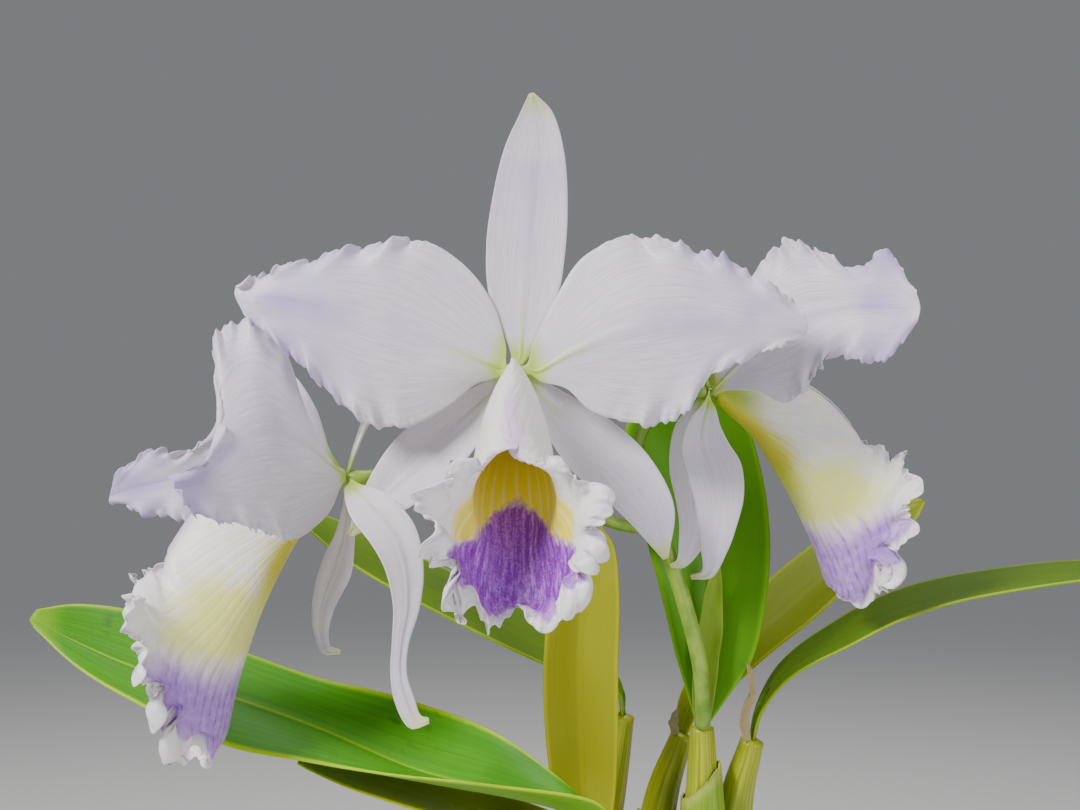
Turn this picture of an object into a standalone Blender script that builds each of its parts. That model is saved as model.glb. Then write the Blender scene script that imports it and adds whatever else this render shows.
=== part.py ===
"""Cattleya orchid in a plain pot: three blooms, seven leaves on their pseudobulbs, bark and pot.

Blender 4.5 script, +Z up. Shapes are given in millimetres and become metres when a mesh is made. The origin
is the centre of the pot's underside. The middle bloom faces -Y, and +X is to its viewer's right.
"""

import math

import bmesh
import bpy
import numpy as np

# Driving sizes, in millimetres
MM = 0.001
SEAT_GAP = 0.3
PETAL_THICK = 0.8
SEPAL_THICK = 0.9
LIP_THICK = 0.8
LEAF_THICK = 2.0
SHEATH_THICK = 0.7
SHEATH_SLACK = 0.5

POT_HEIGHT = 118.0
POT_TOP_RADIUS = 72.0
POT_FOOT_RADIUS = 50.0
POT_WALL = 5.0
POT_FLOOR = 7.0
POT_RIM_HEIGHT = 22.0
POT_RIM_PROUD = 4.0
POT_ROUNDING = 1.5
DRAIN_RADIUS = 5.0
DRAIN_RING = 28.0
DRAIN_COUNT = 3

BARK_TOP = 100.0
BARK_RELIEF = 4.0
BARK_EDGE_GAP = 0.6
# The bark is level this near to a rhizome, and as rough as anywhere from there on
BARK_LEVEL_REACH = (9.0, 15.0)
RHIZOME_RADIUS = 4.0
RHIZOME_LEVEL = BARK_TOP + SEAT_GAP + RHIZOME_RADIUS
BULB_FOOT = RHIZOME_LEVEL + RHIZOME_RADIUS + SEAT_GAP

# The hub of a bloom: the stem's end is a stub that the sepals, petals, lip and column sit round
HUB_RADIUS = 1.3
HUB_FRONT = 0.9
HUB_SHOULDER = -2.2
WHORL_RADIUS = HUB_RADIUS + 0.35
SEPAL_PLANE = -1.45
CLAW_HALF_WIDTH = 1.3
# Where a petal's claw ends: distance from the bloom's axis, half width and distance ahead of the hub
CLAW_END = (3.8, 1.8, 0.1)

PETAL_FRILL = 1.5
PETAL_WAVES = 6.5

# Faces along and across each kind of blade
PETAL_GRID = (23, 6)
SEPAL_GRID = (10, 4)
LIP_GRID = (6, 17, 16)
LEAF_GRID = (12, 4)
SLEEVE_GRID = (5, 10)
# Rings and sectors of the bark's top, and sectors of the pot
BARK_GRID = (8, 28)
POT_SECTORS = 36


def srgb(red, green, blue):
    """A colour read by eye, 0 to 255 a channel, as linear values with alpha."""
    return [((v / 255 + 0.055) / 1.055) ** 2.4 if v > 10 else v / 3295 for v in (red, green, blue)] + [1.0]


COLOURS = {
    "petal": (srgb(214, 208, 220), 0.55),
    "lip": (srgb(205, 180, 222), 0.55),
    "column": (srgb(236, 232, 200), 0.5),
    "stem": (srgb(120, 165, 50), 0.45),
    "leaf_green": (srgb(78, 148, 26), 0.35),
    "leaf_yellow": (srgb(188, 186, 6), 0.35),
    "leaf_lime": (srgb(140, 170, 10), 0.35),
    "bulb": (srgb(170, 180, 20), 0.4),
    "sheath": (srgb(150, 172, 40), 0.5),
    "dry": (srgb(190, 170, 110), 0.85),
    "rhizome": (srgb(120, 110, 60), 0.8),
    "bark": (srgb(96, 62, 38), 0.95),
    "pot": (srgb(178, 96, 62), 0.85),
}

# Curves and surfaces


def curve_at(points, at):
    """The smooth curve through the points, at positions counted in points."""
    points = np.array(points, float)
    ends = np.vstack([2 * points[0] - points[1], points, 2 * points[-1] - points[-2]])
    at = np.clip(at, 0, len(points) - 1)
    first = np.minimum(at.astype(int), len(points) - 2)
    f = (at - first)[:, None]
    p0, p1, p2, p3 = (ends[first + k] for k in range(4))
    return 0.5 * (
        2 * p1 + (p2 - p0) * f + (2 * p0 - 5 * p1 + 4 * p2 - p3) * f**2 + (3 * p1 - p0 - 3 * p2 + p3) * f**3
    )


def even_steps(points, count):
    """Positions along the curve through the points that cut it into equal lengths."""
    fine = np.linspace(0, len(points) - 1, 40 * len(points))
    lengths = np.linalg.norm(np.diff(curve_at(points, fine), axis=0), axis=1)
    run = np.concatenate([[0], np.cumsum(lengths)])
    return np.interp(np.linspace(0, run[-1], count + 1), run, fine)


def unit(vectors):
    return vectors / np.maximum(np.linalg.norm(vectors, axis=-1, keepdims=True), 1e-9)


def smooth(low, high, values):
    part = np.clip((values - low) / (high - low), 0, 1)
    return part * part * (3 - 2 * part)


def ribbon(mid, widths, face, channel=0.0):
    """(mid, left, right) of a blade with these half widths whose upper side looks along face."""
    mid = np.array(mid, float)
    side = unit(np.cross(np.gradient(mid, axis=0), np.array(face, float)))
    reach = side * np.array(widths)[:, None]
    rise = unit(np.array(face, float)) * np.array(widths)[:, None] * channel
    return mid, mid - reach + rise, mid + reach + rise


def blade_grid(curves, steps, crease=2.0, frill=0.0, waves=6.0, frill_from=0.35, phase=0.0):
    """Points of a blade between its left margin, its midrib and its right margin, with a waved edge."""
    mid, left, right = curves
    along, across = steps
    at = even_steps(mid, along)
    mid, left, right = (curve_at(line, at)[:, None, :] for line in (mid, left, right))
    a = np.linspace(-1, 1, across + 1)[None, :, None]
    bend = np.abs(a) ** crease
    grid = mid + a * (right - left) / 2 + bend * ((right + left) / 2 - mid)
    if frill:
        normals = grid_normals(grid)
        t = np.linspace(0, 1, along + 1)[:, None]
        a = a[..., 0]
        edge = smooth(0.45, 1.0, np.abs(a)) * smooth(frill_from, frill_from + 0.2, t)
        wave = np.sin(2 * math.pi * waves * t + phase + 1.9 * np.sign(a))
        grid = grid + normals * (frill * edge * wave)[..., None]
    return grid


def grid_normals(grid):
    return unit(np.cross(np.gradient(grid, axis=0), np.gradient(grid, axis=1)))


# Blender objects


def collection(name):
    made = bpy.data.collections.new(name)
    bpy.context.scene.collection.children.link(made)
    return made


def material(name):
    found = bpy.data.materials.get(name)
    if found:
        return found
    made = bpy.data.materials.new(name)
    made.use_nodes = True
    shader = made.node_tree.nodes["Principled BSDF"]
    colour, roughness = COLOURS[name]
    shader.inputs["Base Color"].default_value = colour
    shader.inputs["Roughness"].default_value = roughness
    shader.inputs["Metallic"].default_value = 0.0
    return made


def add_object(name, data, colour):
    obj = bpy.data.objects.new(name, data)
    PARTS.objects.link(obj)
    data.materials.append(material(colour))
    return obj


def sheet(name, grid, thick, colour, closed=False):
    """An open surface of triangles through the grid, given its thickness by Solidify."""
    rows, columns = grid.shape[:2]
    mesh = bpy.data.meshes.new(name)
    build = bmesh.new()
    verts = [build.verts.new(point * MM) for point in grid.reshape(-1, 3)]
    for i in range(rows - 1):
        for j in range(columns if closed else columns - 1):
            k = (j + 1) % columns
            a, b, c, d = (verts[r * columns + q] for r, q in ((i, j), (i + 1, j), (i + 1, k), (i, k)))
            if (i + j) % 2:
                build.faces.new((a, b, c))
                build.faces.new((a, c, d))
            else:
                build.faces.new((a, b, d))
                build.faces.new((b, c, d))
    build.to_mesh(mesh)
    build.free()
    mesh.shade_smooth()
    obj = add_object(name, mesh, colour)
    shell = obj.modifiers.new("thickness", "SOLIDIFY")
    shell.thickness = thick * MM
    shell.offset = 0.0
    return obj


def tube(name, points, radii, colour, sides_level=2, steps=None):
    """A round stem or bulb along a smooth curve, with its radius given at each point."""
    steps = steps or 3 * len(points)
    at = even_steps(points, steps)
    centres = curve_at(points, at)
    reach = curve_at(np.array(radii, float)[:, None], at)[:, 0]
    return poly_tube(name, centres, reach, colour, sides_level)


def poly_tube(name, centres, radii, colour, sides_level=2):
    data = bpy.data.curves.new(name, "CURVE")
    data.dimensions = "3D"
    data.bevel_depth = MM
    data.bevel_resolution = sides_level
    data.use_fill_caps = True
    line = data.splines.new("POLY")
    line.points.add(len(centres) - 1)
    for point, centre, radius in zip(line.points, centres, radii):
        point.co = (*(np.array(centre) * MM), 1.0)
        point.radius = radius
    return add_object(name, data, colour)


def as_mesh(obj):
    """The curve object made into a mesh object of the same name, with its caps welded."""
    graph = bpy.context.evaluated_depsgraph_get()
    mesh = bpy.data.meshes.new_from_object(obj.evaluated_get(graph))
    build = bmesh.new()
    build.from_mesh(mesh)
    bmesh.ops.remove_doubles(build, verts=build.verts, dist=1e-6)
    build.to_mesh(mesh)
    build.free()
    name, place = obj.name, obj.matrix_world.copy()
    bpy.data.objects.remove(obj)
    made = bpy.data.objects.new(name, mesh)
    made.matrix_world = place
    PARTS.objects.link(made)
    return made


def turned(name, profile, colour, steps):
    """A profile of (radius, height), from the axis to the axis, turned about Z."""
    mesh = bpy.data.meshes.new(name)
    points = [(radius * MM, 0.0, height * MM) for radius, height in profile]
    mesh.from_pydata(points, [(i, i + 1) for i in range(len(points) - 1)], [])
    obj = add_object(name, mesh, colour)
    screw = obj.modifiers.new("turn", "SCREW")
    screw.steps = steps
    screw.render_steps = steps
    screw.use_merge_vertices = True
    screw.merge_threshold = 1e-5
    return obj


# Blooms. Every point is an offset from the bloom's junction: right, away from the viewer, up.
# A petal has its midrib, its upper margin and its lower margin. A sepal has its midrib, its half widths and
# the way that its face looks. The first point of each comes from the hub.

CENTRE = {
    "junction": (-43.9, -50.0, 356.9),
    "facing": -90.0,
    "lip": {"pitch": 0.0, "size": 1.0, "apron": 0.86, "phase": 3.1},
    "petal_left": (
        [(-6, 0, 1), (-14, -2, 4), (-25, -4, 8.5), (-37, -6, 13), (-49, -7, 16.5), (-60, -7.5, 19),
         (-71, -7, 21), (-83.5, -5, 22.5)],
        [(-3.6, 0.5, 9), (-8, 1, 22), (-17, 1, 33), (-29, 0, 39.5), (-44, -2, 38), (-57.5, -4, 34.5),
         (-71, -5, 30.5), (-82.5, -5, 26.5)],
        [(-6, 0, -1.8), (-13, -1, -4), (-21, -2, -10.5), (-33, -3, -16.5), (-46, -5, -14.5), (-58, -7, -3.5),
         (-67, -7, 5), (-80, -6, 16.5)],
    ),
    "petal_right": (
        [(7, 0, 0.5), (17, -2, 6), (29, -4, 11), (41, -6, 14), (52, -7, 15), (64, -7.5, 15), (75, -7, 14),
         (86, -5, 12)],
        [(5, 0.5, 8.5), (11, 1, 21), (20, 1, 34.5), (35, 0, 41), (49, -2, 38), (62, -4, 34), (75, -5, 26),
         (84.5, -5, 19.5)],
        [(7.5, 0, -3), (15, -1, -5), (23, -2, -12), (37, -3, -15.5), (48.5, -5, -13.5), (58, -7, -1),
         (72, -7, 5), (81.5, -6, 9.5)],
    ),
    "sepal_dorsal": (
        [(1.2, 2, 7), (1.8, 3, 22), (2.6, 3.5, 37), (4, 3, 52), (5.2, 1.5, 66), (5.8, -0.5, 77),
         (4.4, -2.5, 83)],
        [3.6, 10, 11.8, 11.2, 9, 5, 0.7],
        (0, -1, 0.05),
    ),
    "sepal_left": (
        [(-10, 5, -9), (-22, 7, -20), (-32, 7.5, -29.5), (-42, 7, -39.5), (-51, 6, -49.5)],
        [5.5, 9.6, 9.8, 6.2, 0.8],
        (-0.2, -1, 0.1),
    ),
    "sepal_right": (
        [(10, 5, -10), (22, 7, -22), (33, 6, -32), (41, 4, -43.5), (44.7, 1, -56)],
        [5.5, 9.6, 9.4, 7, 0.8],
        (0.2, -1, 0.1),
    ),
}

LEFT = {
    "junction": (-97.4, -40.0, 324.6),
    "facing": 195.0,
    "lip": {"pitch": 3.0, "size": 1.06, "apron": 1.0, "phase": 1.3},
    "petal_left": (
        [(-4, 5, 3), (-12, 9, 7), (-22, 13, 9), (-34, 17, 8.5), (-46, 20, 4), (-57, 22, -1), (-68, 24.5, -4),
         (-79, 26, -7)],
        [(-5, 5, 9), (-10, 9, 22), (-19, 12, 33), (-30, 14, 32), (-40, 16, 19), (-52, 19, 7.5), (-66, 23, 8),
         (-77, 26, -2)],
        [(-3, 5.5, -2), (-9, 12, -8), (-19, 17, -14), (-31, 19, -17), (-45, 20, -16), (-57, 22, -14),
         (-68, 24.5, -12.5), (-78.5, 26.5, -9)],
    ),
    "petal_right": (
        [(-1.2, -6, 2.6), (-7, -12, 8), (-14, -20, 12.5), (-19, -28, 13.5), (-24, -36, 11), (-29, -44, 6),
         (-34, -51, 2), (-38.5, -55.5, 1)],
        [(-4.6, -4.6, 6.6), (-12, -5, 24), (-17.5, -7, 40), (-28, -9, 49), (-36, -18, 41), (-31, -29, 25),
         (-29, -44, 9), (-39.5, -55, 3.8)],
        [(-0.3, -5.5, -3), (-3, -11, -10), (-9.7, -20, -16), (-14.5, -27, -16.5), (-20, -35, -13),
         (-26, -43, -10.5), (-33, -50, -8), (-38, -56, -1.6)],
    ),
    "sepal_dorsal": (
        [(3.5, 1.5, 8), (8, 4, 20), (12, 9, 36), (14.5, 16, 51), (15, 24, 66)],
        [4, 8.5, 10, 7.5, 0.8],
        (-1, -0.26, 0.15),
    ),
    "sepal_left": (
        [(1.4, 3.6, -8.5), (0, 6, -18), (-2.9, 8, -28.5), (-6.9, 9.5, -38.7), (-8.2, 10, -47.5),
         (-6.5, 9, -54), (-2, 8, -54.6)],
        [1.9, 3.2, 5.2, 4, 2.6, 1.8, 0.6],
        (-0.35, -1, -0.1),
    ),
    "sepal_right": (
        [(3.2, -4.4, -2.6), (9, -11.5, -7.6), (16.8, -16.5, -16), (20.5, -19, -25.6), (21.2, -20, -36.6),
         (19.4, -20, -47.5), (18.9, -20, -56.4), (20.7, -20, -64.4), (23.7, -20.5, -70.4), (27.8, -21, -70)],
        [2.5, 6.4, 7, 5.6, 3.9, 2.4, 2.3, 2.8, 2.4, 0.8],
        (0.25, -1, 0.45),
    ),
}

RIGHT = {
    "junction": (18.0, -20.0, 351.2),
    "facing": 10.0,
    "lip": {"pitch": -4.0, "size": 0.94, "apron": 0.97, "phase": 2.4},
    "petal_left": (
        [(4, -5, 4.5), (11, -9, 12), (18, -12, 19), (27, -16, 24), (36, -20, 26), (44, -24, 26.5),
         (52, -28, 26), (58.5, -31.5, 25)],
        [(1, -3, 9), (5, -5, 24), (13, -7, 38), (21, -10, 47), (30, -15, 44.5), (40, -20, 38.5),
         (51, -25, 42), (57, -30, 31)],
        [(4.5, -6, 0.5), (13, -12, 0), (21, -16, -3.5), (27.5, -18, 1.5), (32, -19, 9.5), (41, -23, 10),
         (48.5, -26.5, 8.8), (57, -31, 19)],
    ),
    "petal_right": (
        [(1.8, 5, 3), (9, 11, 8.5), (17, 18, 14), (24, 26, 17), (29, 34, 18), (33, 43, 17.5), (37, 51, 16),
         (40, 58, 15)],
        [(2, 5, 9), (6, 9, 22), (12, 15, 33), (20, 23, 38), (27, 33, 36), (33, 42, 31), (37, 50, 25),
         (40, 57, 18)],
        [(2, 6.5, 0), (9.5, 12.5, -3), (18, 19, -4), (25, 27, -2), (30, 35, 2), (34, 43, 5), (38, 51, 9),
         (40.5, 58, 12)],
    ),
    "sepal_dorsal": (
        [(-3.5, 1.5, 8), (-7, 7, 20), (-11, 17, 33), (-15, 29, 43), (-18, 42, 50)],
        [4, 8.5, 10, 7.5, 0.8],
        (0.8, 0.25, 0.3),
    ),
    "sepal_left": (
        [(-1.4, -3.2, -4.4), (-3, -5.2, -10), (-3.2, -7, -17.2), (-0.4, -9, -25), (0.8, -10, -33),
         (0.1, -11, -42), (-0.8, -11, -49.5), (-2.7, -11, -56.8), (-7.5, -9, -58.3)],
        [2, 5, 7.6, 8.7, 7.9, 6.1, 4.2, 1.9, 0.6],
        (0.15, -1, 0.1),
    ),
    "sepal_right": (
        [(-3.4, 3, -4.5), (-6.5, 6, -10.7), (-6.9, 8, -17.2), (-6, 10, -25.4), (-4.3, 11, -34.6),
         (-4, 11, -43.1), (-6.3, 10, -51), (-9, 9, -55.8), (-12.4, 8, -56.6)],
        [2, 4, 5.5, 6.5, 6.2, 5.4, 3.4, 1.7, 0.6],
        (-0.1, -1, 0.1),
    ),
}

BLOOMS = {"centre": CENTRE, "left": LEFT, "right": RIGHT}

# The lip in its own frame, from its base to its front margin. Each row gives the underside's midline and the
# margin as (forward, down), then the margin's distance from the middle, then how far the row bulges beside
# each of them.
LIP_ROWS = [
    ((1.4, 2.4), (1.4, -2.4), 0.25, 3.1, 2.2),
    ((7, 8.5), (9, -3), 0.25, 8.5, 1.6),
    ((14, 16.5), (20, -3), 0.25, 14, 2.2),
    ((20, 26), (32, -0.5), 0.25, 19, 3.4),
    ((25.5, 36.5), (42, 7), 0.25, 21, 7),
    ((29, 45), (49, 16), 0.3, 20, 10.5),
    ((31, 50.5), (53.3, 21.8), 0.5, 17.5, 12.5),
    ((32.6, 55), (57, 24.8), 7, 15.6, 7),
    ((34, 59.5), (60, 27), 15.5, 16, 0),
    ((35, 63), (61, 32.5), 22, 16, -6),
    ((36, 67), (59.5, 43), 24, 16, -9),
    ((37, 70), (56.5, 54), 21, 15, -7),
    ((38.5, 72.5), (54, 65), 17, 13, -3),
    ((41.5, 74.5), (50, 75.5), 10.5, 8, 2),
]
LIP_SEAM = 0.25
# The crimps of the lip's margin: their length along it, and how far they swing to its faces, out and sideways
LIP_WAVE = 15.5
LIP_FRILL = 2.3
LIP_LOBE = 3.4
LIP_SWAY = 0.7
# Below this depth an apron stretches the lip's front
APRON_TOP = 25.0
# Shares of the way from base to front where the closed tube ends and where the crimps fan out from
TUBE_END = 0.46
FAN_START = 0.62

# Leaves, as places in the pot's own frame: midrib, far edge and near edge, or midrib, half widths and face
LEAVES = {
    "leaf_left_green": {
        "colour": "leaf_green",
        "curves": (
            [(-14, -36, 214.8), (-24, -36.5, 221), (-46, -31, 225.5), (-76, -24, 231), (-108, -19, 243),
             (-138, -17, 253), (-165.5, -16, 261), (-186, -15, 269.5), (-202.5, -13, 277.5)],
            [(-15, -34, 216), (-33, -29, 231.5), (-54.5, -13, 242), (-86, 1, 250), (-113, 6, 255),
             (-139.5, 7, 264), (-168.5, 3, 276.5), (-188, -4, 281), (-201, -10.5, 280.2)],
            [(-13, -38, 216), (-21.5, -42.5, 226.5), (-50.5, -43, 231), (-83.5, -40, 234), (-110, -37, 237.5),
             (-135.5, -35, 242), (-165.5, -29, 254.5), (-185, -22, 264), (-201, -14.5, 275.5)],
        ),
    },
    "leaf_upright_green": {
        "colour": "leaf_green",
        "curves": (
            [(17.3, 2.5, 240.2), (17.8, 4, 250), (19, 7, 264), (20.5, 10, 282), (21, 12, 300),
             (20.5, 13, 318), (19, 13, 336), (17.5, 11, 352), (16.5, 9, 361)],
            [(15.3, 2, 240.2), (12.5, 1.5, 250), (8.5, 1, 263.5), (3.9, 1, 282), (-0.8, 2, 300),
             (-5.5, 4, 318), (-9, 6, 334), (-1, 8, 352), (14, 9, 360.5)],
            [(19.3, 2, 240.2), (26, 1.5, 250), (34, 2, 262.5), (38.7, 4, 282), (40.4, 6, 300), (39, 8, 318),
             (34.4, 9, 337), (27, 9, 352), (18.5, 9, 360.8)],
        ),
    },
    "leaf_left_olive": {
        "colour": "leaf_lime",
        "mid": [(-20.8, -0.3, 201.5), (-31, -4.5, 206), (-55, -9, 212), (-75, -12, 219), (-95, -14, 225.5),
                (-108, -14.6, 229.5), (-115, -15, 231.5)],
        "widths": [2, 8, 13, 15, 12, 6.5, 1.5],
        "face": (0.2, -0.25, 1),
        "channel": 0.25,
    },
    "leaf_left_back": {
        "colour": "leaf_lime",
        "mid": [(-8, 24, 239), (-10, 22, 248.5), (-20, 20, 255.5), (-36, 17, 263), (-62, 13, 276.5),
                (-88, 10, 290), (-106, 8, 301), (-122, 6, 313)],
        "widths": [2, 6, 12, 17, 19, 17, 12, 1.5],
        "face": (0.35, -0.3, 1),
        "channel": 0.15,
    },
    "leaf_upright_yellow": {
        "colour": "leaf_yellow",
        "mid": [(-22, -19, 206.8), (-22.6, -18, 216), (-23.6, -17, 240), (-24, -16, 265), (-22.5, -15, 288),
                (-20, -14, 302), (-18.5, -14, 308)],
        "widths": [2.2, 8.5, 11.2, 11.6, 10.6, 7, 1.5],
        "face": (0, -1, 0),
        "channel": 0.5,
    },
    "leaf_right_back": {
        "colour": "leaf_lime",
        "mid": [(12, 15, 234.2), (15, 17, 243), (24, 22, 251.5), (37, 29, 263.4), (50.5, 36, 273),
                (64.6, 44, 283.5), (80.8, 52, 294.4), (96.9, 58, 306), (106, 60.5, 311)],
        "widths": [2, 5, 9, 12.5, 14, 14, 13, 8.5, 1.5],
        "face": (-0.45, -0.62, 0.75),
        "channel": 0.2,
    },
    "leaf_right_long": {
        "colour": "leaf_green",
        "mid": [(34.4, 5, 234.8), (37, 5, 244.3), (43.8, 5, 254.4), (52.6, 5, 261.3), (64, 5, 267.6),
                (79.5, 5, 275.6), (97.7, 4.5, 281.8), (121.2, 4, 286.4), (144.8, 3, 289.8), (166, 2, 291),
                (182, 1, 290)],
        "widths": [2.2, 4.5, 9, 13, 16, 18, 19, 19, 17, 12, 2],
        "face": (-0.3, -0.05, 1),
        "channel": 0.12,
    },
}

# Pseudobulbs: centre line from foot to top, and the radius at its thickest
BULBS = {
    "pseudobulb_1": ([(-8, 14), (-2, 14.5, 160), (4, 16.5, 208), (11.7, 15, 233.5)], 8.0),
    "pseudobulb_2": ([(14, -8), (16.5, -5, 170), (17, -1.5, 210), (17, 0, 239.5)], 8.2),
    "pseudobulb_3": ([(36, 24), (28, 14, 170), (29, 8, 210), (34.4, 5, 234)], 8.0),
    "pseudobulb_4": ([(-34, 34), (-22, 33, 165), (-13, 30, 208), (-8, 24, 238.2)], 8.2),
    "pseudobulb_5": ([(-24, -6), (-23, -12, 160), (-22, -17, 190), (-22, -19, 206)], 8.0),
    "pseudobulb_6": ([(-4, -34), (-8, -37, 165), (-11, -37, 195), (-14, -36, 214)], 8.0),
    "pseudobulb_7": ([(-46, 8), (-38, 6, 155), (-29, 3, 182), (-21, 0, 199.8)], 7.6),
}
BULB_TOP_RADIUS = 4.0
BULB_FOOT_RADIUS = 3.6
BULB_NECK = 9.0
BULB_STEPS = 11

RHIZOMES = {
    "rhizome_back": [(-44, 40), (-34, 34), (-8, 14), (3, 1), (14, -8), (27, -5), (34, 8), (36, 24), (35, 33)],
    "rhizome_front": [(-58, 10), (-46, 8), (-24, -6), (-12, -20), (-4, -34), (1, -42)],
}

FLOWER_STEM = [
    (17, -3.6, 240.4), (15.5, -5.5, 262), (8, -7, 290), (0, -7, 310), (-5, -6.5, 326), (-6, -6.5, 334)
]
FLOWER_STEM_RADII = [2.5, 2.6, 2.6, 2.5, 2.4, 2.0]
# How each bloom's stalk runs from its hub to the stem, after the straight end that carries the bloom
STALKS = {
    "centre": [(-43, -34, 353), (-33, -21, 344), (-18, -11, 332), (-6, -6, 322)],
    "left": [(-85, -32.5, 324.6), (-62, -22, 321), (-30, -14, 314), (-10, -8, 307.5), (1.2, -6.5, 306)],
    "right": [(8.5, -20.5, 351), (1, -15, 346), (-4, -9, 337), (-5.4, -6, 326)],
}
STALK_RADIUS = 1.9
# Behind the hub a stalk widens over its shoulder, then runs straight back before it bends
STALK_NECK_RADIUS = 2.4
STALK_SHOULDER = 0.3
STALK_STRAIGHT = 4.5


def bloom_axes(bloom):
    """The bloom's right, forward and up directions."""
    turn = math.radians(bloom["facing"])
    forward = np.array([math.cos(turn), math.sin(turn), 0.0])
    up = np.array([0.0, 0.0, 1.0])
    return np.cross(up, forward), forward, up


def hub_point(bloom, right, forward, up):
    axes = bloom_axes(bloom)
    return right * axes[0] + forward * axes[1] + up * axes[2]


def claw(bloom, angle, plane, radius=WHORL_RADIUS, half_width=CLAW_HALF_WIDTH):
    """The midrib, left and right points where a blade leaves the hub, at this angle above its right."""
    turn = math.radians(angle)
    out = (math.cos(turn), math.sin(turn))
    centre = hub_point(bloom, radius * out[0], plane, radius * out[1])
    side = hub_point(bloom, -out[1] * half_width, 0, out[0] * half_width)
    return centre, centre - side, centre + side


def petal_claw(bloom, angle):
    """The narrow start of a petal, straight out of the hub: its midrib, upper and lower margin."""
    starts = []
    for radius, half_width, plane in ((WHORL_RADIUS, CLAW_HALF_WIDTH, 0.0), CLAW_END):
        centre, one, other = claw(bloom, angle, plane, radius, half_width)
        starts.append((centre, one, other) if one[2] > other[2] else (centre, other, one))
    return zip(*starts)


def make_petal(place, bloom, name, angle, phase):
    mid, upper, lower = bloom[name]
    starts = petal_claw(bloom, angle)
    curves = [[*start, *line] for start, line in zip(starts, (mid, upper, lower))]
    grid = blade_grid(curves, PETAL_GRID, frill=PETAL_FRILL, waves=PETAL_WAVES, phase=phase)
    sheet(f"{place}_{name}", grid + np.array(bloom["junction"]), PETAL_THICK, "petal")


def make_sepal(place, bloom, name, angle):
    mid, widths, face = bloom[name]
    centre, one, other = claw(bloom, angle, SEPAL_PLANE)
    _, left, right = ribbon([centre, *mid], [CLAW_HALF_WIDTH, *widths], face, channel=0.12)
    if np.linalg.norm(one - left[0]) > np.linalg.norm(one - right[0]):
        one, other = other, one
    curves = ([centre, *mid], [one, *left[1:]], [other, *right[1:]])
    grid = blade_grid(curves, SEPAL_GRID)
    sheet(f"{place}_{name}", grid + np.array(bloom["junction"]), SEPAL_THICK, "petal")


def lip_grid(steps, apron, phase):
    """The lip's surface in its own frame: right, forward, down. Its rows lie closer along the free margin."""
    tube, mouth, across = steps
    s = np.concatenate([np.linspace(0, TUBE_END, tube, endpoint=False), np.linspace(TUBE_END, 1, mouth + 1)])
    rows = np.array([[*under, *margin, gap, low, high] for under, margin, gap, low, high in LIP_ROWS])
    at = np.interp(s, np.linspace(0, 1, 201), even_steps(rows[:, 2:4], 200))
    rows = curve_at(rows, at)[:, :, None]
    theta = np.linspace(-1, 1, across + 1)[None, :]
    q = np.abs(theta)
    under, margin, low, high = rows[:, 0:2], rows[:, 2:4], rows[:, 5], rows[:, 6]
    gap = np.maximum(rows[:, 4], LIP_SEAM)
    b0, b1, b2, b3 = (1 - q) ** 3, 3 * q * (1 - q) ** 2, 3 * q * q * (1 - q), q**3
    side = np.sign(theta) * (b1 * low + b2 * (gap + high) + b3 * gap)
    plane = [(b0 + b1) * under[:, k] + (b2 + b3) * margin[:, k] for k in (0, 1)]
    down = plane[1] + (apron - 1) * np.maximum(plane[1] - APRON_TOP, 0)
    grid = np.stack([side, plane[0], down], axis=-1)
    return frilled_lip(grid, s[:, None], theta, phase)


def margin_run(grid, turn):
    """How far round the lip's margin from its front the ray through each point comes out, in millimetres."""
    last = grid.shape[0] - 1
    right = [(i, grid.shape[1] - 1) for i in range(last)]
    front = [(last, j) for j in range(grid.shape[1] - 1, 0, -1)]
    left = [(i, 0) for i in range(last, -1, -1)]
    edge = tuple(np.array(right + front + left).T)
    lengths = np.linalg.norm(np.diff(grid[edge], axis=0), axis=1)
    run = np.concatenate([[0], np.cumsum(lengths)])
    return np.interp(-turn, -turn[edge], run) - np.interp(0, -turn[edge], run)


def frilled_lip(grid, s, theta, phase):
    """Crimps that fan out to the lip's free margin, which goes in and out with them."""
    ahead = (s - FAN_START) / (1 - FAN_START)
    reach = np.hypot(np.clip(ahead, 0, 1), theta)
    turn = np.arctan2(theta, ahead)
    edge = (smooth(0.6, 1.05, reach) * smooth(0.42, 0.6, s))[..., None]
    along, across = (unit(np.gradient(grid, axis=k)) for k in (0, 1))
    outward = unit(along * np.cos(turn)[..., None] + across * np.sin(turn)[..., None])
    sideways = unit(along * np.sin(turn)[..., None] - across * np.cos(turn)[..., None])
    wave = (2 * math.pi * margin_run(grid, turn) / LIP_WAVE + phase)[..., None]
    swing = LIP_FRILL * grid_normals(grid) + LIP_SWAY * sideways
    return grid + edge * (swing * np.sin(wave) + LIP_LOBE * outward * np.cos(wave))


def make_lip(place, bloom):
    shape = bloom["lip"]
    grid = lip_grid(LIP_GRID, shape["apron"], shape["phase"])
    tilt = math.radians(shape["pitch"])
    size = 1 + (shape["size"] - 1) * smooth(1.5, 12, grid[..., 1])
    turn = smooth(1.5, 12, grid[..., 1]) * tilt
    right = grid[..., 0] * size
    forward = (grid[..., 1] * np.cos(turn) - grid[..., 2] * np.sin(turn)) * size
    down = (grid[..., 1] * np.sin(turn) + grid[..., 2] * np.cos(turn)) * size
    axes = bloom_axes(bloom)
    points = right[..., None] * axes[0] + forward[..., None] * axes[1] - down[..., None] * axes[2]
    sheet(f"{place}_lip", points + np.array(bloom["junction"]), LIP_THICK, "lip")


def make_column(place, bloom):
    route = [(HUB_FRONT + 0.35, 0), (6, 1.2), (13, 3), (20, 5.5), (26, 9)]
    points = [np.array(bloom["junction"]) + hub_point(bloom, 0, forward, -down) for forward, down in route]
    tube(f"{place}_column", points, [1.55, 1.9, 2.3, 2.7, 2.0], "column", steps=7)


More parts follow.
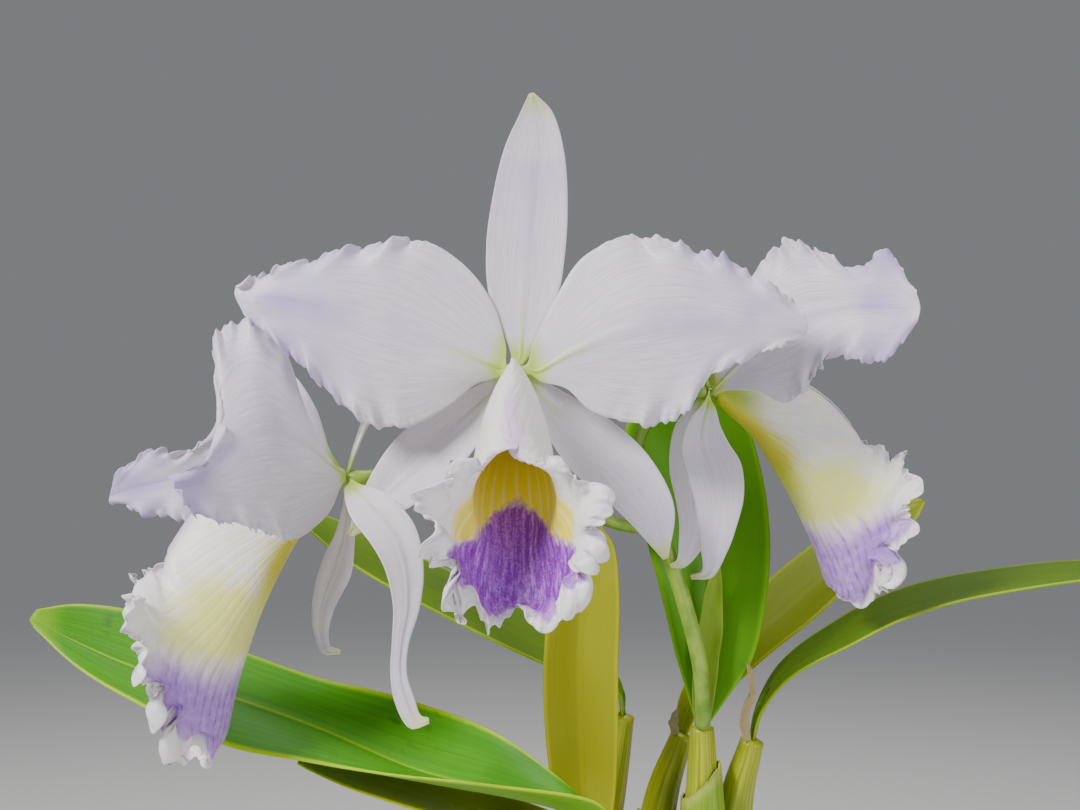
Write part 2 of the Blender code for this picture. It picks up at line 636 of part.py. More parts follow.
def make_blooms():
    for number, (place, bloom) in enumerate(BLOOMS.items()):
        make_sepal(place, bloom, "sepal_dorsal", 90)
        make_sepal(place, bloom, "sepal_left", 210)
        make_sepal(place, bloom, "sepal_right", -30)
        make_petal(place, bloom, "petal_left", 166, 0.7 + number)
        make_petal(place, bloom, "petal_right", 14, 2.1 + number)
        make_lip(place, bloom)
        make_column(place, bloom)


def make_flower_stem():
    """The stem and the three stalks that grew from it, joined in one piece."""
    stem = as_mesh(tube("flower_stem", FLOWER_STEM, FLOWER_STEM_RADII, "stem", steps=8))
    for place, route in STALKS.items():
        bloom = BLOOMS[place]
        stations = (HUB_FRONT, HUB_SHOULDER, HUB_SHOULDER - STALK_SHOULDER, HUB_SHOULDER - STALK_STRAIGHT)
        hub = [np.array(bloom["junction"]) + hub_point(bloom, 0, forward, 0) for forward in stations]
        way = [hub[3], *route]
        rest = curve_at(way, even_steps(way, 7))
        centres = [*hub[:3], *rest]
        radii = [HUB_RADIUS, HUB_RADIUS, STALK_NECK_RADIUS]
        radii += list(np.linspace(STALK_NECK_RADIUS, STALK_RADIUS, len(rest)))
        stalk = as_mesh(poly_tube(f"stalk_{place}", centres, radii, "stem"))
        join(stem, stalk)
    return stem


def join(obj, other):
    """Unites other with obj, and removes other."""
    union = obj.modifiers.new("join", "BOOLEAN")
    union.operation = "UNION"
    union.object = other
    graph = bpy.context.evaluated_depsgraph_get()
    mesh = bpy.data.meshes.new_from_object(obj.evaluated_get(graph))
    obj.modifiers.clear()
    obj.data = mesh
    bpy.data.objects.remove(other)


def make_leaves():
    for name, leaf in LEAVES.items():
        curves = leaf.get("curves") or ribbon(leaf["mid"], leaf["widths"], leaf["face"], leaf["channel"])
        grid = blade_grid(curves, LEAF_GRID, crease=1.35)
        sheet(name, grid, LEAF_THICK, leaf["colour"])


def bulb_line(name):
    """A pseudobulb's points and radii: slim at the foot, thickest above the middle, drawn in at the top."""
    points, thickest = BULBS[name]
    points = [(*points[0], BULB_FOOT), (*points[0], BULB_FOOT + BULB_NECK), *points[1:]]
    radii = [BULB_FOOT_RADIUS, 0.62 * thickest, thickest, 0.74 * thickest, BULB_TOP_RADIUS]
    at = even_steps(points, BULB_STEPS)
    return curve_at(points, at), curve_at(np.array(radii)[:, None], at)[:, 0]


def make_bulbs():
    for name in BULBS:
        centres, radii = bulb_line(name)
        poly_tube(name, centres, radii, "bulb")


def make_bulb_sheath(name, bulb, first, last, slant, colour):
    """A thin sleeve round a bulb, between two of its stations, with a slanting upper edge."""
    centres, radii = bulb_line(bulb)
    clear = SEAT_GAP + SHEATH_THICK / 2 + SHEATH_SLACK
    rows = np.linspace(first, last, SLEEVE_GRID[0])
    around = np.linspace(0, 2 * math.pi, SLEEVE_GRID[1], endpoint=False)
    grid = []
    for k, row in enumerate(rows):
        lean = slant * k / (len(rows) - 1)
        ring = []
        for angle in around:
            at = np.array([row + lean * math.cos(angle)])
            centre = curve_at(centres, at)[0]
            radius = curve_at(radii[:, None], at)[0, 0] + clear
            ring.append(centre + radius * np.array([math.cos(angle), math.sin(angle), 0.0]))
        grid.append(ring)
    sheet(name, np.array(grid), SHEATH_THICK, colour, closed=True)


def make_sheaths():
    make_bulb_sheath("bulb_sheath_2", "pseudobulb_2", 4.0, 9.6, 0.5, "sheath")
    make_bulb_sheath("bulb_sheath_1", "pseudobulb_1", 2.0, 8.2, -0.5, "dry")
    make_bulb_sheath("bulb_sheath_3", "pseudobulb_3", 2.0, 8.4, 0.4, "dry")
    spathe = ribbon(
        [(17, 0.2, 240.4), (17.6, 0.9, 252), (19.2, 1.2, 268), (20.8, 1.2, 282), (22, 0.5, 296)],
        [2.4, 3.8, 4.2, 3.2, 0.6],
        (0, -1, 0),
        channel=0.25,
    )
    sheet("floral_sheath", blade_grid(spathe, (8, 4)), SHEATH_THICK, "sheath")
    old_sheath = ribbon(
        [(32, 1.6, 235), (31, 0.6, 243), (33.5, -0.5, 252), (32.2, 0.5, 261)],
        [1.4, 1.7, 1.2, 0.5],
        (0.3, -1, 0),
        channel=0.3,
    )
    sheet("dry_flower_sheath", blade_grid(old_sheath, (8, 2)), SHEATH_THICK, "dry")
    bract = ribbon(
        [(9.3, 12.6, 234.5), (8.6, 11.6, 239), (9.8, 11, 243.5)],
        [1.2, 1.5, 0.5],
        (-0.2, -1, 0.1),
        channel=0.3,
    )
    sheet("dry_bract", blade_grid(bract, (5, 2)), SHEATH_THICK, "dry")


def make_rhizomes():
    for name, route in RHIZOMES.items():
        points = [(*place, RHIZOME_LEVEL) for place in route]
        tube(name, points, [2.6] + [RHIZOME_RADIUS] * (len(points) - 2) + [2.2], "rhizome", steps=14)


def pot_inner_radius(height):
    """The inner radius of the pot's wall at a height."""
    share = height / POT_HEIGHT
    return POT_FOOT_RADIUS + (POT_TOP_RADIUS - POT_RIM_PROUD - POT_FOOT_RADIUS) * share - POT_WALL


def make_pot():
    rim_foot = POT_HEIGHT - POT_RIM_HEIGHT
    outer_at_rim = pot_inner_radius(rim_foot) + POT_WALL
    profile = [
        (0, POT_FLOOR),
        (pot_inner_radius(POT_FLOOR), POT_FLOOR),
        (pot_inner_radius(POT_HEIGHT), POT_HEIGHT - POT_ROUNDING),
        (pot_inner_radius(POT_HEIGHT) + POT_ROUNDING, POT_HEIGHT),
        (POT_TOP_RADIUS - POT_ROUNDING, POT_HEIGHT),
        (POT_TOP_RADIUS, POT_HEIGHT - POT_ROUNDING),
        (outer_at_rim + POT_RIM_PROUD, rim_foot),
        (outer_at_rim, rim_foot - POT_ROUNDING),
        (POT_FOOT_RADIUS + 0.4, POT_ROUNDING),
        (POT_FOOT_RADIUS - POT_ROUNDING, 0),
        (0, 0),
    ]
    pot = turned("pot", profile, "pot", POT_SECTORS)
    for number in range(DRAIN_COUNT):
        turn = 2 * math.pi * number / DRAIN_COUNT
        bpy.ops.mesh.primitive_cylinder_add(vertices=16, radius=DRAIN_RADIUS * MM, depth=3 * POT_FLOOR * MM)
        hole = bpy.context.object
        hole.name = f"drain_cutter_{number}"
        place = (DRAIN_RING * math.cos(turn), DRAIN_RING * math.sin(turn), POT_FLOOR / 2)
        hole.location = [value * MM for value in place]
        hole.hide_render = True
        hole.display_type = "WIRE"
        for home in list(hole.users_collection):
            home.objects.unlink(hole)
        CUTTERS.objects.link(hole)
        cut = pot.modifiers.new(f"drain_{number}", "BOOLEAN")
        cut.operation = "DIFFERENCE"
        cut.object = hole


def make_bark():
    """The bark fills the pot to just under its rim. Its top is broken relief, level under the rhizomes."""
    edge = pot_inner_radius(BARK_TOP) - BARK_EDGE_GAP
    foot = POT_FLOOR + SEAT_GAP
    profile = [(radius, BARK_TOP) for radius in np.linspace(0, edge, BARK_GRID[0] + 1)]
    profile += [(pot_inner_radius(foot) - BARK_EDGE_GAP, foot), (0, foot)]
    bark = turned("bark", profile, "bark", BARK_GRID[1])
    graph = bpy.context.evaluated_depsgraph_get()
    mesh = bpy.data.meshes.new_from_object(bark.evaluated_get(graph))
    bark.modifiers.clear()
    bark.data = mesh
    routes = []
    for route in RHIZOMES.values():
        routes.append(curve_at(route, np.linspace(0, len(route) - 1, 60)))
    paths = np.vstack(routes)
    for vertex in mesh.vertices:
        x, y, z = (value / MM for value in vertex.co)
        radius = math.hypot(x, y)
        if z < BARK_TOP - 1 or radius > edge - 1:
            continue
        near = np.min(np.hypot(paths[:, 0] - x, paths[:, 1] - y))
        rough = 0.5 + 0.5 * math.sin(0.61 * x + 1.7 * math.sin(0.33 * y)) * math.cos(0.53 * y + 0.9)
        vertex.co.z -= BARK_RELIEF * rough * float(smooth(*BARK_LEVEL_REACH, near)) * MM


def clear_scene():
    for obj in list(bpy.data.objects):
        bpy.data.objects.remove(obj)


clear_scene()
PARTS = collection("cattleya_orchid")
CUTTERS = collection("cutters")
make_blooms()
make_flower_stem()
make_leaves()
make_bulbs()
make_sheaths()
make_rhizomes()
make_pot()
make_bark()
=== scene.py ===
"""Looks of the cattleya orchid: fine blades with waved and crimped edges, and node materials for every piece.

Each piece stands for the node of the same name. Shapes are given in millimetres, in the pot's own frame, and
become metres when a mesh is made. A blade has an upper and an under face and carries three numbers at each
point: how far along it the point lies, how far across it, from -1 to 1, and which face it is on.
"""

import math

import bmesh
import bpy
import numpy as np
from mathutils import Euler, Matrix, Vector


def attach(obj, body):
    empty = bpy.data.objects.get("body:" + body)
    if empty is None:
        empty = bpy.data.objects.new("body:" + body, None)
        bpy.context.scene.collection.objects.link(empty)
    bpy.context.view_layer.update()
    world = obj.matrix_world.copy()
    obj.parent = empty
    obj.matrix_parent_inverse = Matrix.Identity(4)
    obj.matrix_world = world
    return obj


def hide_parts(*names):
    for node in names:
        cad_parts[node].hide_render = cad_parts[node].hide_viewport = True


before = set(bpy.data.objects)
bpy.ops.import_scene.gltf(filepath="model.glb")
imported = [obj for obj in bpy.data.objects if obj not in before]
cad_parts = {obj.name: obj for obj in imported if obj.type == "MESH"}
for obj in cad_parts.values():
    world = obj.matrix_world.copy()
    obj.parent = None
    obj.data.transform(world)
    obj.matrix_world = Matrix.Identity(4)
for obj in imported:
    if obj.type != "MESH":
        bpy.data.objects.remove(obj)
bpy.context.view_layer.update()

# Driving sizes, in millimetres
MM = 0.001
SEAT_GAP = 0.3
SHEATH_SLACK = 0.5

POT_HEIGHT = 118.0
POT_TOP_RADIUS = 72.0
POT_FOOT_RADIUS = 50.0
POT_WALL = 5.0
POT_FLOOR = 7.0
POT_RIM_HEIGHT = 22.0
POT_RIM_PROUD = 4.0
POT_ROUNDING = 1.5
DRAIN_RADIUS = 5.0
DRAIN_RING = 28.0
DRAIN_COUNT = 3

BARK_TOP = 100.0
BARK_RELIEF = 4.0
BARK_EDGE_GAP = 0.6
# The bark is level this near to a rhizome, and as rough as anywhere from there on
BARK_LEVEL_REACH = (9.0, 15.0)
RHIZOME_RADIUS = 4.0
RHIZOME_LEVEL = BARK_TOP + SEAT_GAP + RHIZOME_RADIUS
BULB_FOOT = RHIZOME_LEVEL + RHIZOME_RADIUS + SEAT_GAP

# The hub of a bloom: the stem's end is a stub that the sepals, petals, lip and column sit round
HUB_RADIUS = 1.3
HUB_FRONT = 0.9
HUB_SHOULDER = -2.2
WHORL_RADIUS = HUB_RADIUS + 0.35
SEPAL_PLANE = -1.45
CLAW_HALF_WIDTH = 1.3
# Where a petal's claw ends: distance from the bloom's axis, half width and distance ahead of the hub
CLAW_END = (3.8, 1.8, 0.1)

# Thickness of each kind of blade, at its middle and at its margin
PETAL_THICK = (0.75, 0.28)
SEPAL_THICK = (0.95, 0.4)
LIP_THICK = (0.7, 0.3)
LEAF_THICK = (1.9, 0.7)
SHEATH_THICK = (0.6, 0.3)

# Faces along and across each kind of blade; the lip's are along its tube, along its open front and across
PETAL_GRID = (176, 56)
SEPAL_GRID = (72, 28)
LIP_GRID = (34, 114, 168)
LEAF_GRID = (110, 28)
BRACT_GRID = (50, 12)

# Faces round and along the solid pieces, and round the pot and the bark
STEM_GRID = (24, 60)
STALK_GRID = (20, 60)
COLUMN_GRID = (28, 40)
BULB_GRID = (60, 90)
RHIZOME_GRID = (40, 160)
FINE_SLEEVE = (72, 44)
POT_STEPS = 120
BARK_STEPS = 120
# How far the lip's right margin laps over its left one along the tube, and how high it lies there
LIP_LAP = 1.6
LIP_LAP_LIFT = 0.45

# The chips of loose bark, spread over the bed turn by turn
BARK_CHIPS = 330
GOLDEN_ANGLE = 2.39996

# The thin bracts: midrib, half widths, the way they face, how much they are folded, and what they are made of
BRACTS = {
    "floral_sheath": (
        [(17, 0.2, 240.4), (17.6, 0.9, 252), (19.2, 1.2, 268), (20.8, 1.2, 282), (22, 0.5, 296)],
        [2.4, 3.8, 4.2, 3.2, 0.6], (0, -1, 0), 0.25, "sheath",
    ),
    "dry_flower_sheath": (
        [(32, 1.6, 235), (31, 0.6, 243), (33.5, -0.5, 252), (32.2, 0.5, 261)],
        [1.4, 1.7, 1.2, 0.5], (0.3, -1, 0), 0.3, "dry",
    ),
    "dry_bract": (
        [(9.3, 12.6, 234.5), (8.6, 11.6, 239), (9.8, 11, 243.5)],
        [1.2, 1.5, 0.5], (-0.2, -1, 0.1), 0.3, "dry",
    ),
}


def srgb(red, green, blue):
    """A colour read 0 to 255 a channel, as linear values with alpha."""
    return [((v / 255 + 0.055) / 1.055) ** 2.4 if v > 10 else v / 3295 for v in (red, green, blue)] + [1.0]


# Curves and surfaces


def curve_at(points, at):
    """The smooth curve through the points, at positions counted in points."""
    points = np.array(points, float)
    ends = np.vstack([2 * points[0] - points[1], points, 2 * points[-1] - points[-2]])
    at = np.clip(at, 0, len(points) - 1)
    first = np.minimum(at.astype(int), len(points) - 2)
    f = (at - first)[:, None]
    p0, p1, p2, p3 = (ends[first + k] for k in range(4))
    return 0.5 * (
        2 * p1 + (p2 - p0) * f + (2 * p0 - 5 * p1 + 4 * p2 - p3) * f**2 + (3 * p1 - p0 - 3 * p2 + p3) * f**3
    )


def even_steps(points, count):
    """Positions along the curve through the points that cut it into equal lengths."""
    fine = np.linspace(0, len(points) - 1, 40 * len(points))
    lengths = np.linalg.norm(np.diff(curve_at(points, fine), axis=0), axis=1)
    run = np.concatenate([[0], np.cumsum(lengths)])
    return np.interp(np.linspace(0, run[-1], count + 1), run, fine)


def unit(vectors):
    return vectors / np.maximum(np.linalg.norm(vectors, axis=-1, keepdims=True), 1e-9)


def smooth(low, high, values):
    part = np.clip((values - low) / (high - low), 0, 1)
    return part * part * (3 - 2 * part)


def ribbon(mid, widths, face, channel=0.0):
    """(mid, left, right) of a blade with these half widths whose upper side looks along face."""
    mid = np.array(mid, float)
    side = unit(np.cross(np.gradient(mid, axis=0), np.array(face, float)))
    reach = side * np.array(widths)[:, None]
    rise = unit(np.array(face, float)) * np.array(widths)[:, None] * channel
    return mid, mid - reach + rise, mid + reach + rise


def blade_grid(curves, steps, crease=2.0):
    """Points of a blade between its left margin, its midrib and its right margin."""
    mid, left, right = curves
    along, across = steps
    at = even_steps(mid, along)
    mid, left, right = (curve_at(line, at)[:, None, :] for line in (mid, left, right))
    a = np.linspace(-1, 1, across + 1)[None, :, None]
    bend = np.abs(a) ** crease
    return mid + a * (right - left) / 2 + bend * ((right + left) / 2 - mid)


def grid_normals(grid):
    return unit(np.cross(np.gradient(grid, axis=0), np.gradient(grid, axis=1)))

# Materials


class Shade:
    """One material's nodes. Each call adds a node and returns its output, for the next to take."""

    def __init__(self, name, roughness, **sockets):
        self.material = bpy.data.materials.new(name)
        self.material.use_nodes = True
        self.tree = self.material.node_tree
        self.shader = self.tree.nodes["Principled BSDF"]
        self.give("Roughness", roughness)
        for socket, value in sockets.items():
            self.give(socket.replace("_", " "), value)

    def give(self, socket, value):
        """Sets or links one of the shader's own sockets."""
        if isinstance(value, bpy.types.NodeSocket):
            self.tree.links.new(value, self.shader.inputs[socket])
        else:
            self.shader.inputs[socket].default_value = value

    def add(self, kind, inputs, output=0, **settings):
        node = self.tree.nodes.new(kind)
        for key, value in settings.items():
            setattr(node, key, value)
        for key, value in inputs.items():
            if isinstance(value, bpy.types.NodeSocket):
                self.tree.links.new(value, node.inputs[key])
            else:
                node.inputs[key].default_value = value
        return node.outputs[output]

    def number(self, label):
        return self.add("ShaderNodeAttribute", {}, "Fac", attribute_name=label)

    def place(self):
        return self.add("ShaderNodeTexCoord", {}, "Object")

    def math(self, operation, *values):
        return self.add("ShaderNodeMath", dict(enumerate(values)), operation=operation)

    def times(self, *values):
        product = values[0]
        for value in values[1:]:
            product = self.math("MULTIPLY", product, value)
        return product

    def plus(self, *values):
        total = values[0]
        for value in values[1:]:
            total = self.math("ADD", total, value)
        return total

    def less(self, value):
        """One minus the value."""
        return self.math("SUBTRACT", 1.0, value)

    def between(self, value, low, high, start=0.0, end=1.0):
        """A soft step from start, where the value is low, to end, where it is high."""
        inputs = {"Value": value, "From Min": low, "From Max": high, "To Min": start, "To Max": end}
        return self.add("ShaderNodeMapRange", inputs, interpolation_type="SMOOTHSTEP")

    def vector(self, x, y, z=0.0):
        return self.add("ShaderNodeCombineXYZ", {0: x, 1: y, 2: z})

    def noise(self, vector, scale, detail=3.0, roughness=0.55, distortion=0.0):
        inputs = {"Vector": vector, "Scale": scale, "Detail": detail, "Roughness": roughness}
        return self.add("ShaderNodeTexNoise", {**inputs, "Distortion": distortion}, "Fac")

    def drawn_out(self, along, across, detail=3.0, roughness=0.55):
        """Noise stretched over two of the blade's own numbers."""
        return self.noise(self.vector(along, across), 1.0, detail, roughness)

    def cells(self, vector, scale):
        return self.add("ShaderNodeTexVoronoi", {"Vector": vector, "Scale": scale}, "Distance")

    def lines(self, across, count, drift, low=0.2, high=1.0):
        """Lines at even steps of across, pushed about by drift."""
        turn = self.math("MULTIPLY_ADD", across, count, drift)
        return self.between(self.math("SINE", turn), low, high)

    def mix(self, share, one, other):
        inputs = {0: share, 6: one, 7: other}
        return self.add("ShaderNodeMix", inputs, 2, data_type="RGBA")

    def finish(self, colour, height=None, strength=0.3, distance=0.0002):
        """Links the colour and the relief, and returns the material."""
        self.give("Base Color", colour)
        if height is not None:
            inputs = {"Height": height, "Strength": strength, "Distance": distance}
            self.give("Normal", self.add("ShaderNodeBump", inputs))
        return self.material


THIN = {"Subsurface_Radius": (1.0, 0.8, 0.9), "Subsurface_Scale": 0.001}


def petal_material(name, lilac, vein_count, tips=False):
    """White, lilac-cast blades: a midrib tint partly painted shade, a green-yellow claw, fanning veins, a
    grain with painted sparkle.
    """
    shade = Shade(name, 0.42, Subsurface_Weight=0.22, Sheen_Weight=0.12, Sheen_Roughness=0.4, **THIN)
    t, a = shade.number("along"), shade.number("across")
    q = shade.math("ABSOLUTE", a)
    place = shade.place()
    drift = shade.times(shade.drawn_out(shade.times(t, 6.0), shade.times(a, 5.0), 3.0, 0.65), 6.0)
    veins = shade.lines(a, vein_count, drift, 0.7, 1.0)
    fine = shade.lines(a, vein_count * 2.7, shade.times(drift, 2.6), 0.3, 1.0)
    streaks = shade.drawn_out(shade.times(a, 44.0), shade.times(t, 6.0), 5.0, 0.7)
    patches = shade.noise(place, 34.0, 2.0)
    grain = shade.noise(place, 2600.0, 2.0, 0.7)
    far = shade.times(shade.between(t, 0.45, 0.95), shade.between(patches, 0.42, 0.62))
    middle = shade.times(shade.between(q, 0.0, 0.3, 1.0, 0.0), shade.between(t, 0.1, 0.6))
    # Lilac along the midrib: partly the petal's own tint, partly painted shade of the midrib crease
    midrib_tint_and_painted_shade = shade.times(middle, shade.between(patches, 0.4, 0.6))
    margin = shade.times(shade.between(q, 0.86, 1.0), shade.between(t, 0.4, 0.7))
    tint = shade.plus(shade.times(far, 0.75), shade.times(midrib_tint_and_painted_shade, 0.5), shade.times(margin, 0.25), 0.1)
    colour = shade.mix(shade.between(streaks, 0.3, 0.75), srgb(214, 207, 219), srgb(236, 233, 239))
    colour = shade.mix(shade.times(tint, lilac), colour, srgb(188, 168, 220))
    colour = shade.mix(shade.times(veins, 0.12), colour, srgb(186, 172, 200))
    # Painted sparkle: near-white specks of the fine grain stand in for glints
    colour = shade.mix(shade.between(grain, 0.62, 0.78, 0.0, 0.35), colour, srgb(250, 249, 252))
    root = shade.between(t, 0.03, 0.12, 1.0, 0.0)
    flush = shade.times(shade.between(t, 0.06, 0.34, 0.5, 0.0), shade.between(q, 0.02, 0.22, 1.0, 0.0))
    colour = shade.mix(shade.math("MINIMUM", shade.plus(root, flush), 0.9), colour, srgb(190, 216, 60))
    if tips:
        colour = shade.mix(shade.between(t, 0.88, 1.0, 0.0, 0.75), colour, srgb(206, 210, 110))
    height = shade.plus(shade.times(veins, -0.25), shade.times(fine, -0.15), shade.times(grain, 0.5), streaks)
    return shade.finish(colour, height, 0.35, 0.0002)


LIP_NUMBERS = (
    "violet", "gold", "throat", "keel", "band", "blush", "seam", "margin", "ray", "run", "along", "face",
)


def lip_material():
    """White crimps with painted shade in their troughs, gold and violet inside the lip, gold under its tube
    and lilac under its front.
    """
    shade = Shade("lip", 0.45, Subsurface_Weight=0.18, Sheen_Weight=0.15, Sheen_Roughness=0.4, **THIN)
    marks = {label: shade.number(label) for label in LIP_NUMBERS}
    place, ray, along = shade.place(), marks["ray"], marks["along"]
    inside = shade.between(marks["face"], -0.2, 0.2)
    outside = shade.less(inside)
    drift = shade.times(shade.drawn_out(shade.times(ray, 4.0), shade.times(along, 6.0), 2.0), 4.2)
    veins = shade.lines(ray, 118.0, drift, 0.1, 1.0)
    streaks = shade.drawn_out(shade.times(ray, 26.0), shade.times(along, 7.0), 4.0, 0.65)
    mottle = shade.noise(place, 420.0, 3.0, 0.6)
    specks = shade.noise(place, 1500.0, 2.0, 0.6)
    torn = shade.times(shade.math("SUBTRACT", streaks, 0.5), 0.9)

    def patch(label, low, high, share=1.0):
        """A marked patch with a torn edge."""
        return shade.times(shade.between(shade.plus(marks[label], torn), low, high), share)

    colour = shade.mix(shade.between(streaks, 0.3, 0.7), srgb(242, 236, 240), srgb(253, 251, 248))
    cream = shade.times(shade.between(marks["margin"], 0.0, 0.3, 0.35, 0.0), shade.between(mottle, 0.4, 0.6))
    colour = shade.mix(shade.times(outside, cream), colour, srgb(246, 244, 190))
    colour = shade.mix(shade.times(outside, marks["throat"], 0.95), colour, srgb(196, 220, 0))
    colour = shade.mix(shade.times(outside, patch("keel", 0.05, 0.9, 0.95)), colour, srgb(214, 206, 0))
    colour = shade.mix(shade.times(outside, patch("band", 0.1, 0.9, 0.72)), colour, srgb(232, 236, 50))
    deep = shade.times(veins, shade.between(streaks, 0.35, 0.65))
    lilac = shade.mix(deep, srgb(166, 104, 216), srgb(106, 24, 172))
    lilac = shade.mix(shade.between(mottle, 0.38, 0.7, 0.0, 0.4), lilac, srgb(210, 180, 238))
    colour = shade.mix(shade.times(outside, patch("blush", 0.1, 0.95, 0.9)), colour, lilac)
    colour = shade.mix(shade.times(outside, patch("seam", 0.2, 1.0, 0.6)), colour, srgb(196, 156, 218))

    gold = shade.mix(shade.between(along, 0.14, 0.4), srgb(240, 208, 24), srgb(252, 236, 60))
    pale = shade.lines(ray, 58.0, shade.times(drift, 0.5), 0.45, 1.0)
    gold = shade.mix(shade.times(pale, shade.between(along, 0.2, 0.4), 0.75), gold, srgb(252, 240, 168))
    there = shade.between(shade.plus(marks["gold"], shade.times(torn, 0.6)), 0.15, 0.7)
    colour = shade.mix(shade.times(inside, there), colour, gold)
    blots = shade.times(shade.math("SUBTRACT", mottle, 0.5), 0.7)
    there = shade.between(shade.plus(marks["violet"], torn, blots), 0.28, 0.72)
    light = shade.between(shade.plus(streaks, shade.times(specks, 0.5)), 0.6, 1.0)
    violet = shade.mix(light, srgb(134, 22, 184), srgb(206, 140, 238))
    violet = shade.mix(shade.times(veins, 0.3), violet, srgb(106, 8, 156))
    colour = shade.mix(shade.times(inside, there), colour, violet)

    rim = shade.between(marks["margin"], 0.64, 0.78, 1.0, 0.1)
    crest = shade.times(marks["margin"], rim, shade.between(mottle, 0.36, 0.66))
    colour = shade.mix(shade.times(crest, 0.85), colour, srgb(200, 168, 228))
    pleats_and_painted_shade = shade.times(shade.lines(marks["run"], 3.4, shade.times(drift, 0.5), -1.0, 1.0), marks["margin"])
    # Painted shade: darker lilac in the troughs of the pleats along the margin
    colour = shade.mix(shade.times(pleats_and_painted_shade, rim, 0.34), colour, srgb(188, 168, 212))
    grain = shade.times(specks, 0.35)
    height = shade.plus(streaks, grain, shade.times(veins, -0.4), shade.times(pleats_and_painted_shade, -2.2))
    return shade.finish(colour, height, 0.55, 0.0003)


# Each leaf's main colour, its darker streaks, its rim, its under side, and how many water marks it has
LEAF_LOOKS = {
    "leaf_left_green": (srgb(84, 158, 8), srgb(54, 128, 2), srgb(172, 206, 0), srgb(112, 166, 20), 1.0),
    "leaf_upright_green": (srgb(92, 168, 0), srgb(56, 134, 0), srgb(124, 188, 4), srgb(100, 162, 10), 0.0),
    "leaf_left_olive": (srgb(146, 168, 0), srgb(108, 128, 0), srgb(176, 188, 4), srgb(132, 142, 8), 0.0),
    "leaf_left_back": (srgb(108, 172, 0), srgb(80, 142, 0), srgb(160, 196, 0), srgb(104, 132, 0), 0.0),
    "leaf_upright_yellow": (srgb(150, 152, 0), srgb(112, 126, 0), srgb(160, 160, 0), srgb(142, 142, 0), 0.0),
    "leaf_right_back": (srgb(160, 176, 0), srgb(126, 152, 0), srgb(176, 188, 4), srgb(142, 154, 0), 0.0),
    "leaf_right_long": (srgb(104, 154, 0), srgb(76, 122, 0), srgb(148, 178, 4), srgb(86, 116, 0), 0.0),
}


def leaf_material(name, look):
    """A leathery blade: lengthwise streaks, a lighter midrib and rim, and a duller under side."""
    light, dark, rim, under, marks = look
    shade = Shade(name, 0.45, Specular_IOR_Level=0.25, Subsurface_Weight=0.06, **THIN)
    t, a, face = shade.number("along"), shade.number("across"), shade.number("face")
    q = shade.math("ABSOLUTE", a)
    place = shade.place()
    streaks = shade.drawn_out(shade.times(a, 16.0), shade.times(t, 1.4), 4.0, 0.6)
    fine = shade.drawn_out(shade.times(a, 90.0), shade.times(t, 5.0), 3.0, 0.6)
    patches = shade.noise(place, 22.0, 3.0)
    colour = shade.mix(shade.between(shade.plus(streaks, shade.times(patches, 0.6)), 0.45, 1.2), dark, light)
    colour = shade.mix(shade.times(shade.between(fine, 0.35, 0.7), 0.22), colour, light)
    colour = shade.mix(shade.between(q, 0.012, 0.05, 0.5, 0.0), colour, rim)
    colour = shade.mix(shade.between(face, -0.2, 0.2, 0.75, 0.0), colour, under)
    edge = shade.plus(shade.between(q, 0.9, 0.99), shade.between(t, 0.93, 1.0, 0.0, 0.4))
    colour = shade.mix(edge, colour, rim)
    roughness = shade.between(patches, 0.35, 0.65, 0.42, 0.56)
    height = shade.plus(shade.times(fine, 0.6), streaks)
    if marks:
        blots = shade.drawn_out(shade.times(t, 34.0), shade.times(a, 7.0), 2.0, 0.4)
        there = shade.times(shade.between(patches, 0.46, 0.56), shade.between(a, -0.95, -0.2, 1.0, 0.25))
        wet = shade.times(shade.between(blots, 0.6, 0.63), there, marks)
        colour = shade.mix(shade.times(wet, 0.62), colour, srgb(38, 92, 20))
        roughness = shade.math("SUBTRACT", roughness, shade.times(wet, 0.14))
    shade.give("Roughness", roughness)
    return shade.finish(colour, height, 0.22, 0.0003)


def bulb_material():
    """Waxy, fluted and yellow-green, duller and browner towards the foot."""
    shade = Shade("bulb", 0.36, Coat_Weight=0.08, Subsurface_Weight=0.06, **THIN)
    t, a = shade.number("along"), shade.number("across")
    streaks = shade.drawn_out(shade.times(a, 26.0), shade.times(t, 3.0), 4.0, 0.65)
    patches = shade.noise(shade.place(), 60.0, 3.0)
    colour = shade.mix(shade.between(streaks, 0.35, 0.68), srgb(146, 158, 16), srgb(200, 206, 24))
    colour = shade.mix(shade.between(patches, 0.45, 0.7, 0.0, 0.4), colour, srgb(120, 142, 22))
    colour = shade.mix(shade.between(t, 0.0, 0.3, 0.7, 0.0), colour, srgb(126, 108, 48))
    return shade.finish(colour, shade.plus(streaks, shade.times(patches, 0.4)), 0.4, 0.0005)


def sheath_material():
    """Thin light green, with fine lengthwise lines and a paler edge."""
    shade = Shade("sheath", 0.45, Subsurface_Weight=0.12, **THIN)
    t, a = shade.number("along"), shade.number("across")
    lines = shade.drawn_out(shade.times(a, 60.0), shade.times(t, 3.0), 3.0, 0.6)
    colour = shade.mix(shade.between(lines, 0.35, 0.65), srgb(118, 156, 14), srgb(152, 184, 22))
    colour = shade.mix(shade.between(t, 0.9, 1.0, 0.0, 0.7), colour, srgb(196, 204, 96))
    colour = shade.mix(shade.between(t, 0.0, 0.3, 0.6, 0.0), colour, srgb(170, 156, 92))
    return shade.finish(colour, lines, 0.35, 0.0003)


